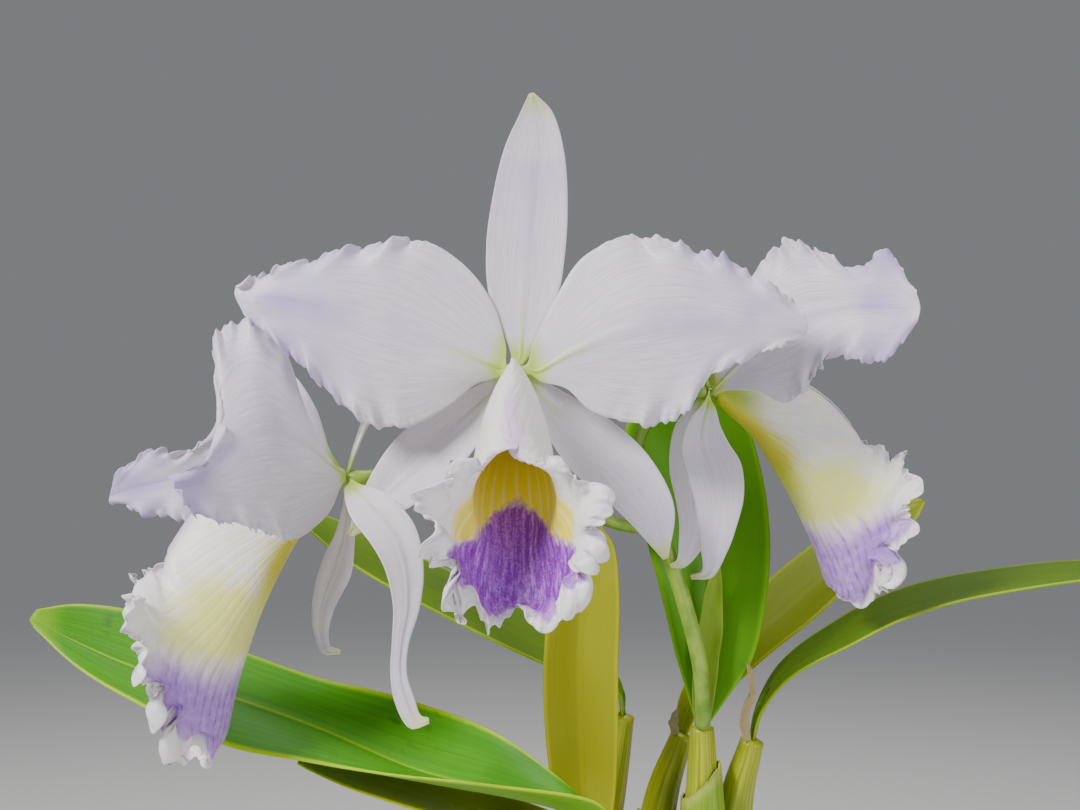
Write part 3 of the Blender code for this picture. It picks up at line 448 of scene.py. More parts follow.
def dry_material():
    """Papery tan skin with fibres along it and torn grey patches."""
    shade = Shade("dry", 0.82)
    t, a = shade.number("along"), shade.number("across")
    place = shade.place()
    fibres = shade.drawn_out(shade.times(a, 110.0), shade.times(t, 5.0), 4.0, 0.7)
    patches = shade.noise(place, 130.0, 4.0, 0.6)
    colour = shade.mix(shade.between(fibres, 0.3, 0.7), srgb(150, 126, 78), srgb(212, 194, 146))
    colour = shade.mix(shade.between(patches, 0.5, 0.68, 0.0, 0.7), colour, srgb(186, 178, 158))
    colour = shade.mix(shade.between(patches, 0.3, 0.42, 0.55, 0.0), colour, srgb(104, 78, 44))
    return shade.finish(colour, shade.plus(fibres, patches), 0.6, 0.0005)


def stem_material():
    shade = Shade("stem", 0.4, Subsurface_Weight=0.08, **THIN)
    place = shade.place()
    patches = shade.noise(place, 90.0, 3.0)
    specks = shade.noise(place, 1300.0, 2.0)
    colour = shade.mix(shade.between(patches, 0.35, 0.68), srgb(112, 156, 40), srgb(164, 196, 74))
    colour = shade.mix(shade.between(specks, 0.6, 0.75, 0.0, 0.4), colour, srgb(190, 208, 120))
    return shade.finish(colour, specks, 0.2, 0.0002)


def column_material():
    """Cream, with a lilac flush towards the end and its pale cap."""
    shade = Shade("column", 0.35, Subsurface_Weight=0.2, **THIN)
    t = shade.number("along")
    specks = shade.noise(shade.place(), 900.0, 3.0)
    colour = shade.mix(shade.between(specks, 0.35, 0.7), srgb(232, 226, 190), srgb(246, 243, 226))
    colour = shade.mix(shade.between(t, 0.45, 0.85, 0.0, 0.5), colour, srgb(206, 176, 222))
    colour = shade.mix(shade.between(t, 0.88, 0.96), colour, srgb(250, 246, 220))
    return shade.finish(colour, specks, 0.2, 0.0002)


def rhizome_material():
    """Woody and ringed, with scraps of old brown scale."""
    shade = Shade("rhizome", 0.8)
    t, a = shade.number("along"), shade.number("across")
    place = shade.place()
    rings = shade.lines(t, 120.0, shade.times(shade.noise(place, 200.0), 3.0), 0.4, 1.0)
    scale = shade.noise(place, 160.0, 4.0, 0.65)
    fibres = shade.drawn_out(shade.times(a, 20.0), shade.times(t, 60.0))
    colour = shade.mix(shade.between(fibres, 0.35, 0.65), srgb(96, 84, 44), srgb(142, 134, 72))
    colour = shade.mix(shade.between(scale, 0.45, 0.6), colour, srgb(110, 78, 46))
    colour = shade.mix(shade.times(rings, 0.6), colour, srgb(62, 44, 26))
    return shade.finish(colour, shade.plus(shade.times(rings, -1.0), scale, fibres), 0.7, 0.0009)


def bark_material():
    """Each chip has its own tone, with a grain of layers and pale dusty flecks."""
    shade = Shade("bark", 0.92, Specular_IOR_Level=0.25)
    place, tone = shade.place(), shade.number("tone")
    rough = shade.noise(place, 260.0, 5.0, 0.7)
    layers = shade.noise(place, 620.0, 3.0, 0.6, 1.2)
    flecks = shade.cells(place, 900.0)
    colour = shade.mix(tone, srgb(66, 42, 28), srgb(142, 98, 62))
    colour = shade.mix(shade.between(rough, 0.35, 0.65, 0.0, 0.7), colour, srgb(96, 60, 36))
    colour = shade.mix(shade.between(layers, 0.52, 0.7, 0.0, 0.5), colour, srgb(170, 128, 88))
    colour = shade.mix(shade.between(flecks, 0.05, 0.16, 0.45, 0.0), colour, srgb(40, 26, 18))
    return shade.finish(colour, shade.plus(rough, layers), 0.9, 0.0012)


def pot_material():
    """Unglazed clay: a fine grain, faint rings from turning, pale salts low down and at the rim."""
    shade = Shade("pot", 0.88, Specular_IOR_Level=0.3)
    place = shade.place()
    level = shade.add("ShaderNodeSeparateXYZ", {0: place}, 2)
    grain = shade.noise(place, 1100.0, 3.0, 0.7)
    patches = shade.noise(place, 24.0, 4.0, 0.6)
    cloud = shade.noise(place, 70.0, 4.0, 0.65)
    rings = shade.noise(shade.vector(0.0, 0.0, shade.times(level, 900.0)), 1.0, 2.0)
    colour = shade.mix(shade.between(patches, 0.35, 0.65), srgb(172, 92, 60), srgb(196, 116, 80))
    colour = shade.mix(shade.between(grain, 0.55, 0.75, 0.0, 0.5), colour, srgb(214, 146, 112))
    low = shade.between(level, 0.0, 0.045, 0.75, 0.0)
    high = shade.between(level, 0.108, 0.118, 0.0, 0.55)
    bloom = shade.times(shade.plus(low, high), shade.between(cloud, 0.42, 0.62))
    colour = shade.mix(shade.times(bloom, 0.75), colour, srgb(222, 200, 182))
    shade.give("Roughness", shade.between(cloud, 0.3, 0.7, 0.8, 0.95))
    height = shade.plus(grain, shade.times(rings, 0.8), shade.times(cloud, 0.6))
    return shade.finish(colour, height, 0.45, 0.0005)


def make_materials():
    """Every look by its name."""
    looks = {
        "petal": petal_material("petal", 0.9, 52.0),
        "sepal": petal_material("sepal", 0.55, 34.0, tips=True),
        "lip": lip_material(),
        "column": column_material(),
        "stem": stem_material(),
        "bulb": bulb_material(),
        "sheath": sheath_material(),
        "dry": dry_material(),
        "rhizome": rhizome_material(),
        "bark": bark_material(),
        "pot": pot_material(),
    }
    for name, look in LEAF_LOOKS.items():
        looks[name] = leaf_material(name, look)
    return looks


def settle(piece, look):
    """Gives the piece its material and lets it stand for the node of its name."""
    node = piece.name.split(".")[0]
    piece.name = f"{node}_fine"
    piece.data.materials.clear()
    piece.data.materials.append(LOOKS[look])
    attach(piece, "root")
    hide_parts(node)


# Meshes


def add_mesh(name, points, faces, numbers=None):
    """A smooth mesh object from points in millimetres, with a float attribute for each entry of numbers."""
    mesh = bpy.data.meshes.new(name)
    mesh.from_pydata((np.asarray(points, float) * MM).tolist(), [], faces)
    for label, values in (numbers or {}).items():
        layer = mesh.attributes.new(label, "FLOAT", "POINT")
        layer.data.foreach_set("value", np.asarray(values, np.float32).ravel())
    mesh.shade_smooth()
    mesh.update()
    obj = bpy.data.objects.new(name, mesh)
    bpy.context.scene.collection.objects.link(obj)
    return obj


def grid_faces(rows, columns, first=0, flip=False, closed=False):
    """Quads over a grid of points, numbered row by row from first."""
    faces = []
    for i in range(rows - 1):
        for j in range(columns if closed else columns - 1):
            k = (j + 1) % columns
            quad = [first + i * columns + j, first + (i + 1) * columns + j, first + (i + 1) * columns + k,
                    first + i * columns + k]
            faces.append(quad[::-1] if flip else quad)
    return faces


def border(rows, columns):
    """Point numbers round the edge of a grid, in the order that faces its upper side."""
    top = [j for j in range(columns)]
    right = [i * columns + columns - 1 for i in range(1, rows)]
    bottom = [(rows - 1) * columns + j for j in range(columns - 2, -1, -1)]
    left = [i * columns for i in range(rows - 2, 0, -1)]
    return top + right + bottom + left


def blade(name, grid, thick, along=None, across=None, extra=None):
    """A closed blade round the grid: thick at its middle, thin and rounded at its margin."""
    rows, columns = grid.shape[:2]
    if along is None:
        along = np.linspace(0, 1, rows)[:, None] * np.ones((1, columns))
        across = np.ones((rows, 1)) * np.linspace(-1, 1, columns)[None, :]
    normals = grid_normals(grid)
    share = 1 - np.maximum(np.abs(across) ** 3, smooth(0.93, 1.0, along))
    half = (thick[1] + (thick[0] - thick[1]) * np.clip(share, 0, 1))[..., None] / 2
    upper = (grid + normals * half).reshape(-1, 3)
    under = (grid - normals * half).reshape(-1, 3)
    edge = border(rows, columns)
    out = edge_directions(grid)
    rim = grid.reshape(-1, 3)[edge] + out * thick[1] * 0.45
    count = rows * columns
    faces = grid_faces(rows, columns) + grid_faces(rows, columns, count, flip=True)
    ring = len(edge)
    for i in range(ring):
        k = (i + 1) % ring
        faces.append([edge[i], edge[k], 2 * count + k, 2 * count + i])
        faces.append([2 * count + i, 2 * count + k, count + edge[k], count + edge[i]])
    numbers = {"along": along, "across": across, **(extra or {})}
    numbers = {label: values.ravel() for label, values in numbers.items()}
    numbers = {label: np.concatenate([values, values, values[edge]]) for label, values in numbers.items()}
    numbers["face"] = np.concatenate([np.ones(count), -np.ones(count), np.zeros(ring)])
    return add_mesh(name, np.vstack([upper, under, rim]), faces, numbers)


def edge_directions(grid):
    """Which way is out of the blade at each point of its border."""
    rows, columns = grid.shape[:2]
    inward = np.empty((rows, columns, 3))
    inward[1:-1, 1:-1] = 0
    inward[0, :] = grid[1, :] - grid[0, :]
    inward[-1, :] = grid[-2, :] - grid[-1, :]
    inward[1:-1, 0] = grid[1:-1, 1] - grid[1:-1, 0]
    inward[1:-1, -1] = grid[1:-1, -2] - grid[1:-1, -1]
    return -unit(inward.reshape(-1, 3)[border(rows, columns)])


def swept(name, points, radii, faces, flutes=()):
    """A round stem or bulb along a smooth curve. Its flutes are (count, share of depth, phase)."""
    sides, steps = faces
    at = even_steps(points, steps)
    centres = curve_at(points, at)
    reach = curve_at(np.array(radii, float)[:, None], at)[:, 0]
    along = unit(np.gradient(centres, axis=0))
    sideways = np.array([0.0, 1.0, 0.0]) if abs(along[0][1]) < 0.8 else np.array([1.0, 0.0, 0.0])
    side = unit(np.cross(along, sideways))
    up = np.cross(side, along)
    angle = np.linspace(0, 2 * math.pi, sides, endpoint=False)[None, :]
    t = np.linspace(0, 1, steps + 1)[:, None]
    scale = np.ones((steps + 1, sides))
    for count, depth, phase in flutes:
        turn = count * angle + phase + 1.1 * np.sin(2.3 * t + phase)
        scale = scale + depth * np.cos(turn) * np.sin(math.pi * t) ** 0.5
    ring = side[:, None] * np.cos(angle)[..., None] + up[:, None] * np.sin(angle)[..., None]
    grid = centres[:, None] + ring * (reach[:, None] * scale)[..., None]
    return capped(name, grid, along, reach)


def capped(name, grid, along, reach):
    """A closed tube from rings of points, with a domed cap at each end."""
    rings, sides = grid.shape[:2]
    first, last = grid[0].mean(axis=0), grid[-1].mean(axis=0)
    rounds = [(grid[0] + first) / 2 - along[0] * reach[0] * 0.22]
    rounds += [(grid[-1] + last) / 2 + along[-1] * reach[-1] * 0.22]
    tips = [first - along[0] * reach[0] * 0.3, last + along[-1] * reach[-1] * 0.3]
    points = np.vstack([rounds[0], grid.reshape(-1, 3), rounds[1], tips])
    total = rings + 2
    faces = grid_faces(total, sides, closed=True)
    foot, top = total * sides, total * sides + 1
    for j in range(sides):
        k = (j + 1) % sides
        faces.append([foot, j, k])
        faces.append([top, (total - 1) * sides + k, (total - 1) * sides + j])
    t = np.concatenate([[0.0], np.linspace(0, 1, rings), [1.0]])
    along_values = np.concatenate([np.repeat(t, sides), [0.0, 1.0]])
    across_values = np.concatenate([np.tile(np.linspace(-1, 1, sides, endpoint=False), total), [0.0, 0.0]])
    return add_mesh(name, points, faces, {"along": along_values, "across": across_values})


def sleeve(name, grid, thick):
    """A thin closed wall round rings of points, open at both ends."""
    rows, columns = grid.shape[:2]
    across = np.roll(grid, -1, axis=1) - np.roll(grid, 1, axis=1)
    normals = unit(np.cross(np.gradient(grid, axis=0), across))
    centre = grid.mean(axis=1, keepdims=True)
    if np.sum(normals * (grid - centre)) < 0:
        normals = -normals
    outer = grid + normals * thick[0] / 2
    inner = grid - normals * thick[0] / 2
    count = rows * columns
    inside_out = np.sum(np.cross(np.gradient(grid, axis=0), across) * (grid - centre)) < 0
    faces = grid_faces(rows, columns, closed=True, flip=inside_out)
    faces += grid_faces(rows, columns, count, closed=True, flip=not inside_out)
    for row, turn in ((0, not inside_out), (rows - 1, inside_out)):
        for j in range(columns):
            k = (j + 1) % columns
            a, b = row * columns + j, row * columns + k
            quad = [a, b, count + b, count + a]
            faces.append(quad[::-1] if turn else quad)
    along = np.repeat(np.linspace(0, 1, rows), columns)
    around = np.tile(np.linspace(-1, 1, columns, endpoint=False), rows)
    numbers = {"along": np.tile(along, 2), "across": np.tile(around, 2)}
    return add_mesh(name, np.vstack([outer.reshape(-1, 3), inner.reshape(-1, 3)]), faces, numbers)


# Waved margins

# Waves along the blade, height, where they start out from the midrib, and their pull on the margin
PETAL_RUFFLES = [(6.5, 1.5, 0.45, 0.5), (14.5, 1.1, 0.74, 0.7), (31, 0.5, 0.86, 0.45), (52, 0.16, 0.9, 0.15)]
BRACT_RUFFLES = [(3.0, 0.3, 0.3, 0.2)]
# Length of each wave along the lip's margin, its height, its pull out, its sway sideways and where it starts
LIP_RUFFLES = [(15.5, 2.3, 3.4, 0.7, 0.6), (6.6, 0.7, 0.9, 0.15, 0.74), (3.4, 0.95, 0.8, 0.1, 0.78)]


def uneven(run, phase):
    """A slow drift along a margin that keeps its waves from being all alike."""
    return 0.6 * np.sin(0.73 * run + phase) + 0.5 * np.sin(1.31 * run + 2.1 * phase)


def ruffled(grid, ruffles, phase, start=0.35):
    """The blade with waves along both margins, from this share of its length on."""
    rows, columns = grid.shape[:2]
    t = np.linspace(0, 1, rows)[:, None]
    a = np.linspace(-1, 1, columns)[None, :]
    normals = grid_normals(grid)
    outward = unit(np.gradient(grid, axis=1)) * np.sign(a)[..., None]
    for number, (waves, height, inner, pull) in enumerate(ruffles):
        turn = 2 * math.pi * waves * t + phase + 1.9 * np.sign(a)
        size = smooth(inner, 1.0, np.abs(a)) * smooth(start, start + 0.2, t)
        if number:
            turn = turn + 1.4 * uneven(waves * t, phase + 3 * np.sign(a))
            size = size * (0.85 + 0.35 * uneven(0.7 * waves * t, 1.7 * phase + np.sign(a)))
        grid = grid + normals * (height * size * np.sin(turn))[..., None]
        grid = grid + outward * (pull * size * np.cos(turn))[..., None]
    return grid


def grooved(grid, depth, width, fade=1.0):
    """The blade with a channel along its midrib, which fades towards the tip."""
    t = np.linspace(0, 1, grid.shape[0])[:, None]
    a = np.linspace(-1, 1, grid.shape[1])[None, :]
    channel = depth * np.exp(-((a / width) ** 2)) * (1 - fade * t) * smooth(0.0, 0.06, t)
    return grid - grid_normals(grid) * channel[..., None]


def rolling(grid, height, phase):
    """The blade with shallow swells across its face."""
    t = np.linspace(0, 1, grid.shape[0])[:, None]
    a = np.linspace(-1, 1, grid.shape[1])[None, :]
    swell = np.sin(5.3 * t + 2.2 * a + phase) * np.sin(3.1 * a - 4.0 * t + 2 * phase)
    return grid + grid_normals(grid) * (height * swell * smooth(0.1, 0.3, t))[..., None]


# Blooms. Every point is an offset from the bloom's junction: right, away from the viewer, up.
# A petal has its midrib, its upper margin and its lower margin. A sepal has its midrib, its half widths and
# the way that its face looks. The first point of each comes from the hub.

CENTRE = {
    "junction": (-43.9, -50.0, 356.9),
    "facing": -90.0,
    "lip": {"pitch": 0.0, "size": 1.0, "apron": 0.86, "phase": 3.1},
    "petal_left": (
        [(-6, 0, 1), (-14, -2, 4), (-25, -4, 8.5), (-37, -6, 13), (-49, -7, 16.5), (-60, -7.5, 19),
         (-71, -7, 21), (-83.5, -5, 22.5)],
        [(-3.6, 0.5, 9), (-8, 1, 22), (-17, 1, 33), (-29, 0, 39.5), (-44, -2, 38), (-57.5, -4, 34.5),
         (-71, -5, 30.5), (-82.5, -5, 26.5)],
        [(-6, 0, -1.8), (-13, -1, -4), (-21, -2, -10.5), (-33, -3, -16.5), (-46, -5, -14.5), (-58, -7, -3.5),
         (-67, -7, 5), (-80, -6, 16.5)],
    ),
    "petal_right": (
        [(7, 0, 0.5), (17, -2, 6), (29, -4, 11), (41, -6, 14), (52, -7, 15), (64, -7.5, 15), (75, -7, 14),
         (86, -5, 12)],
        [(5, 0.5, 8.5), (11, 1, 21), (20, 1, 34.5), (35, 0, 41), (49, -2, 38), (62, -4, 34), (75, -5, 26),
         (84.5, -5, 19.5)],
        [(7.5, 0, -3), (15, -1, -5), (23, -2, -12), (37, -3, -15.5), (48.5, -5, -13.5), (58, -7, -1),
         (72, -7, 5), (81.5, -6, 9.5)],
    ),
    "sepal_dorsal": (
        [(1.2, 2, 7), (1.8, 3, 22), (2.6, 3.5, 37), (4, 3, 52), (5.2, 1.5, 66), (5.8, -0.5, 77),
         (4.4, -2.5, 83)],
        [3.6, 10, 11.8, 11.2, 9, 5, 0.7],
        (0, -1, 0.05),
    ),
    "sepal_left": (
        [(-10, 5, -9), (-22, 7, -20), (-32, 7.5, -29.5), (-42, 7, -39.5), (-51, 6, -49.5)],
        [5.5, 9.6, 9.8, 6.2, 0.8],
        (-0.2, -1, 0.1),
    ),
    "sepal_right": (
        [(10, 5, -10), (22, 7, -22), (33, 6, -32), (41, 4, -43.5), (44.7, 1, -56)],
        [5.5, 9.6, 9.4, 7, 0.8],
        (0.2, -1, 0.1),
    ),
}

LEFT = {
    "junction": (-97.4, -40.0, 324.6),
    "facing": 195.0,
    "lip": {"pitch": 3.0, "size": 1.06, "apron": 1.0, "phase": 1.3},
    "petal_left": (
        [(-4, 5, 3), (-12, 9, 7), (-22, 13, 9), (-34, 17, 8.5), (-46, 20, 4), (-57, 22, -1), (-68, 24.5, -4),
         (-79, 26, -7)],
        [(-5, 5, 9), (-10, 9, 22), (-19, 12, 33), (-30, 14, 32), (-40, 16, 19), (-52, 19, 7.5), (-66, 23, 8),
         (-77, 26, -2)],
        [(-3, 5.5, -2), (-9, 12, -8), (-19, 17, -14), (-31, 19, -17), (-45, 20, -16), (-57, 22, -14),
         (-68, 24.5, -12.5), (-78.5, 26.5, -9)],
    ),
    "petal_right": (
        [(-1.2, -6, 2.6), (-7, -12, 8), (-14, -20, 12.5), (-19, -28, 13.5), (-24, -36, 11), (-29, -44, 6),
         (-34, -51, 2), (-38.5, -55.5, 1)],
        [(-4.6, -4.6, 6.6), (-12, -5, 24), (-17.5, -7, 40), (-28, -9, 49), (-36, -18, 41), (-31, -29, 25),
         (-29, -44, 9), (-39.5, -55, 3.8)],
        [(-0.3, -5.5, -3), (-3, -11, -10), (-9.7, -20, -16), (-14.5, -27, -16.5), (-20, -35, -13),
         (-26, -43, -10.5), (-33, -50, -8), (-38, -56, -1.6)],
    ),
    "sepal_dorsal": (
        [(3.5, 1.5, 8), (8, 4, 20), (12, 9, 36), (14.5, 16, 51), (15, 24, 66)],
        [4, 8.5, 10, 7.5, 0.8],
        (-1, -0.26, 0.15),
    ),
    "sepal_left": (
        [(1.4, 3.6, -8.5), (0, 6, -18), (-2.9, 8, -28.5), (-6.9, 9.5, -38.7), (-8.2, 10, -47.5),
         (-6.5, 9, -54), (-2, 8, -54.6)],
        [1.9, 3.2, 5.2, 4, 2.6, 1.8, 0.6],
        (-0.35, -1, -0.1),
    ),
    "sepal_right": (
        [(3.2, -4.4, -2.6), (9, -11.5, -7.6), (16.8, -16.5, -16), (20.5, -19, -25.6), (21.2, -20, -36.6),
         (19.4, -20, -47.5), (18.9, -20, -56.4), (20.7, -20, -64.4), (23.7, -20.5, -70.4), (27.8, -21, -70)],
        [2.5, 6.4, 7, 5.6, 3.9, 2.4, 2.3, 2.8, 2.4, 0.8],
        (0.25, -1, 0.45),
    ),
}

RIGHT = {
    "junction": (18.0, -20.0, 351.2),
    "facing": 10.0,
    "lip": {"pitch": -4.0, "size": 0.94, "apron": 0.97, "phase": 2.4},
    "petal_left": (
        [(4, -5, 4.5), (11, -9, 12), (18, -12, 19), (27, -16, 24), (36, -20, 26), (44, -24, 26.5),
         (52, -28, 26), (58.5, -31.5, 25)],
        [(1, -3, 9), (5, -5, 24), (13, -7, 38), (21, -10, 47), (30, -15, 44.5), (40, -20, 38.5),
         (51, -25, 42), (57, -30, 31)],
        [(4.5, -6, 0.5), (13, -12, 0), (21, -16, -3.5), (27.5, -18, 1.5), (32, -19, 9.5), (41, -23, 10),
         (48.5, -26.5, 8.8), (57, -31, 19)],
    ),
    "petal_right": (
        [(1.8, 5, 3), (9, 11, 8.5), (17, 18, 14), (24, 26, 17), (29, 34, 18), (33, 43, 17.5), (37, 51, 16),
         (40, 58, 15)],
        [(2, 5, 9), (6, 9, 22), (12, 15, 33), (20, 23, 38), (27, 33, 36), (33, 42, 31), (37, 50, 25),
         (40, 57, 18)],
        [(2, 6.5, 0), (9.5, 12.5, -3), (18, 19, -4), (25, 27, -2), (30, 35, 2), (34, 43, 5), (38, 51, 9),
         (40.5, 58, 12)],
    ),
    "sepal_dorsal": (
        [(-3.5, 1.5, 8), (-7, 7, 20), (-11, 17, 33), (-15, 29, 43), (-18, 42, 50)],
        [4, 8.5, 10, 7.5, 0.8],
        (0.8, 0.25, 0.3),
    ),
    "sepal_left": (
        [(-1.4, -3.2, -4.4), (-3, -5.2, -10), (-3.2, -7, -17.2), (-0.4, -9, -25), (0.8, -10, -33),
         (0.1, -11, -42), (-0.8, -11, -49.5), (-2.7, -11, -56.8), (-7.5, -9, -58.3)],
        [2, 5, 7.6, 8.7, 7.9, 6.1, 4.2, 1.9, 0.6],
        (0.15, -1, 0.1),
    ),
    "sepal_right": (
        [(-3.4, 3, -4.5), (-6.5, 6, -10.7), (-6.9, 8, -17.2), (-6, 10, -25.4), (-4.3, 11, -34.6),
         (-4, 11, -43.1), (-6.3, 10, -51), (-9, 9, -55.8), (-12.4, 8, -56.6)],
        [2, 4, 5.5, 6.5, 6.2, 5.4, 3.4, 1.7, 0.6],
        (-0.1, -1, 0.1),
    ),
}

BLOOMS = {"centre": CENTRE, "left": LEFT, "right": RIGHT}

# The lip in its own frame, from its base to its front margin. Each row gives the underside's midline and the
# margin as (forward, down), then the margin's distance from the middle, then how far the row bulges beside
# each of them.
LIP_ROWS = [
    ((1.4, 2.4), (1.4, -2.4), 0.25, 3.1, 2.2),
    ((7, 8.5), (9, -3), 0.25, 8.5, 1.6),
    ((14, 16.5), (20, -3), 0.25, 14, 2.2),
    ((20, 26), (32, -0.5), 0.25, 19, 3.4),
    ((25.5, 36.5), (42, 7), 0.25, 21, 7),
    ((29, 45), (49, 16), 0.3, 20, 10.5),
    ((31, 50.5), (53.3, 21.8), 0.5, 17.5, 12.5),
    ((32.6, 55), (57, 24.8), 7, 15.6, 7),
    ((34, 59.5), (60, 27), 15.5, 16, 0),
    ((35, 63), (61, 32.5), 22, 16, -6),
    ((36, 67), (59.5, 43), 24, 16, -9),
    ((37, 70), (56.5, 54), 21, 15, -7),
    ((38.5, 72.5), (54, 65), 17, 13, -3),
    ((41.5, 74.5), (50, 75.5), 10.5, 8, 2),
]
LIP_SEAM = 0.25
# Below this depth an apron stretches the lip's front
APRON_TOP = 25.0
# Shares of the way from base to front where the closed tube ends and where the crimps fan out from
TUBE_END = 0.46
FAN_START = 0.62

# Leaves, as places in the pot's own frame: midrib, far edge and near edge, or midrib, half widths and face
LEAVES = {
    "leaf_left_green": {
        "colour": "leaf_green",
        "curves": (
            [(-14, -36, 214.8), (-24, -36.5, 221), (-46, -31, 225.5), (-76, -24, 231), (-108, -19, 243),
             (-138, -17, 253), (-165.5, -16, 261), (-186, -15, 269.5), (-202.5, -13, 277.5)],
            [(-15, -34, 216), (-33, -29, 231.5), (-54.5, -13, 242), (-86, 1, 250), (-113, 6, 255),
             (-139.5, 7, 264), (-168.5, 3, 276.5), (-188, -4, 281), (-201, -10.5, 280.2)],
            [(-13, -38, 216), (-21.5, -42.5, 226.5), (-50.5, -43, 231), (-83.5, -40, 234), (-110, -37, 237.5),
             (-135.5, -35, 242), (-165.5, -29, 254.5), (-185, -22, 264), (-201, -14.5, 275.5)],
        ),
    },
    "leaf_upright_green": {
        "colour": "leaf_green",
        "curves": (
            [(17.3, 2.5, 240.2), (17.8, 4, 250), (19, 7, 264), (20.5, 10, 282), (21, 12, 300),
             (20.5, 13, 318), (19, 13, 336), (17.5, 11, 352), (16.5, 9, 361)],
            [(15.3, 2, 240.2), (12.5, 1.5, 250), (8.5, 1, 263.5), (3.9, 1, 282), (-0.8, 2, 300),
             (-5.5, 4, 318), (-9, 6, 334), (-1, 8, 352), (14, 9, 360.5)],
            [(19.3, 2, 240.2), (26, 1.5, 250), (34, 2, 262.5), (38.7, 4, 282), (40.4, 6, 300), (39, 8, 318),
             (34.4, 9, 337), (27, 9, 352), (18.5, 9, 360.8)],
        ),
    },
    "leaf_left_olive": {
        "colour": "leaf_lime",
        "mid": [(-20.8, -0.3, 201.5), (-31, -4.5, 206), (-55, -9, 212), (-75, -12, 219), (-95, -14, 225.5),
                (-108, -14.6, 229.5), (-115, -15, 231.5)],
        "widths": [2, 8, 13, 15, 12, 6.5, 1.5],
        "face": (0.2, -0.25, 1),
        "channel": 0.25,
    },
    "leaf_left_back": {
        "colour": "leaf_lime",
        "mid": [(-8, 24, 239), (-10, 22, 248.5), (-20, 20, 255.5), (-36, 17, 263), (-62, 13, 276.5),
                (-88, 10, 290), (-106, 8, 301), (-122, 6, 313)],
        "widths": [2, 6, 12, 17, 19, 17, 12, 1.5],
        "face": (0.35, -0.3, 1),
        "channel": 0.15,
    },
    "leaf_upright_yellow": {
        "colour": "leaf_yellow",
        "mid": [(-22, -19, 206.8), (-22.6, -18, 216), (-23.6, -17, 240), (-24, -16, 265), (-22.5, -15, 288),
                (-20, -14, 302), (-18.5, -14, 308)],
        "widths": [2.2, 8.5, 11.2, 11.6, 10.6, 7, 1.5],
        "face": (0, -1, 0),
        "channel": 0.5,
    },
    "leaf_right_back": {
        "colour": "leaf_lime",
        "mid": [(12, 15, 234.2), (15, 17, 243), (24, 22, 251.5), (37, 29, 263.4), (50.5, 36, 273),
                (64.6, 44, 283.5), (80.8, 52, 294.4), (96.9, 58, 306), (106, 60.5, 311)],
        "widths": [2, 5, 9, 12.5, 14, 14, 13, 8.5, 1.5],
        "face": (-0.45, -0.62, 0.75),
        "channel": 0.2,
    },
    "leaf_right_long": {
        "colour": "leaf_green",
        "mid": [(34.4, 5, 234.8), (37, 5, 244.3), (43.8, 5, 254.4), (52.6, 5, 261.3), (64, 5, 267.6),
                (79.5, 5, 275.6), (97.7, 4.5, 281.8), (121.2, 4, 286.4), (144.8, 3, 289.8), (166, 2, 291),
                (182, 1, 290)],
        "widths": [2.2, 4.5, 9, 13, 16, 18, 19, 19, 17, 12, 2],
        "face": (-0.3, -0.05, 1),
        "channel": 0.12,
    },
}

# Pseudobulbs: centre line from foot to top, and the radius at its thickest
BULBS = {
    "pseudobulb_1": ([(-8, 14), (-2, 14.5, 160), (4, 16.5, 208), (11.7, 15, 233.5)], 8.0),
    "pseudobulb_2": ([(14, -8), (16.5, -5, 170), (17, -1.5, 210), (17, 0, 239.5)], 8.2),
    "pseudobulb_3": ([(36, 24), (28, 14, 170), (29, 8, 210), (34.4, 5, 234)], 8.0),
    "pseudobulb_4": ([(-34, 34), (-22, 33, 165), (-13, 30, 208), (-8, 24, 238.2)], 8.2),
    "pseudobulb_5": ([(-24, -6), (-23, -12, 160), (-22, -17, 190), (-22, -19, 206)], 8.0),
    "pseudobulb_6": ([(-4, -34), (-8, -37, 165), (-11, -37, 195), (-14, -36, 214)], 8.0),
    "pseudobulb_7": ([(-46, 8), (-38, 6, 155), (-29, 3, 182), (-21, 0, 199.8)], 7.6),
}
BULB_TOP_RADIUS = 4.0
BULB_FOOT_RADIUS = 3.6
BULB_NECK = 9.0
BULB_STEPS = 11

RHIZOMES = {
    "rhizome_back": [(-44, 40), (-34, 34), (-8, 14), (3, 1), (14, -8), (27, -5), (34, 8), (36, 24), (35, 33)],
    "rhizome_front": [(-58, 10), (-46, 8), (-24, -6), (-12, -20), (-4, -34), (1, -42)],
}

FLOWER_STEM = [
    (17, -3.6, 240.4), (15.5, -5.5, 262), (8, -7, 290), (0, -7, 310), (-5, -6.5, 326), (-6, -6.5, 334)
]
FLOWER_STEM_RADII = [2.5, 2.6, 2.6, 2.5, 2.4, 2.0]
# How each bloom's stalk runs from its hub to the stem, after the straight end that carries the bloom
STALKS = {
    "centre": [(-43, -34, 353), (-33, -21, 344), (-18, -11, 332), (-6, -6, 322)],
    "left": [(-85, -32.5, 324.6), (-62, -22, 321), (-30, -14, 314), (-10, -8, 307.5), (1.2, -6.5, 306)],
    "right": [(8.5, -20.5, 351), (1, -15, 346), (-4, -9, 337), (-5.4, -6, 326)],
}
STALK_RADIUS = 1.9
# Behind the hub a stalk widens over its shoulder, then runs straight back before it bends
STALK_NECK_RADIUS = 2.4
STALK_SHOULDER = 0.3
STALK_STRAIGHT = 4.5


def bloom_axes(bloom):
    """The bloom's right, forward and up directions."""
    turn = math.radians(bloom["facing"])
    forward = np.array([math.cos(turn), math.sin(turn), 0.0])
    up = np.array([0.0, 0.0, 1.0])
    return np.cross(up, forward), forward, up


def hub_point(bloom, right, forward, up):
    axes = bloom_axes(bloom)
    return right * axes[0] + forward * axes[1] + up * axes[2]


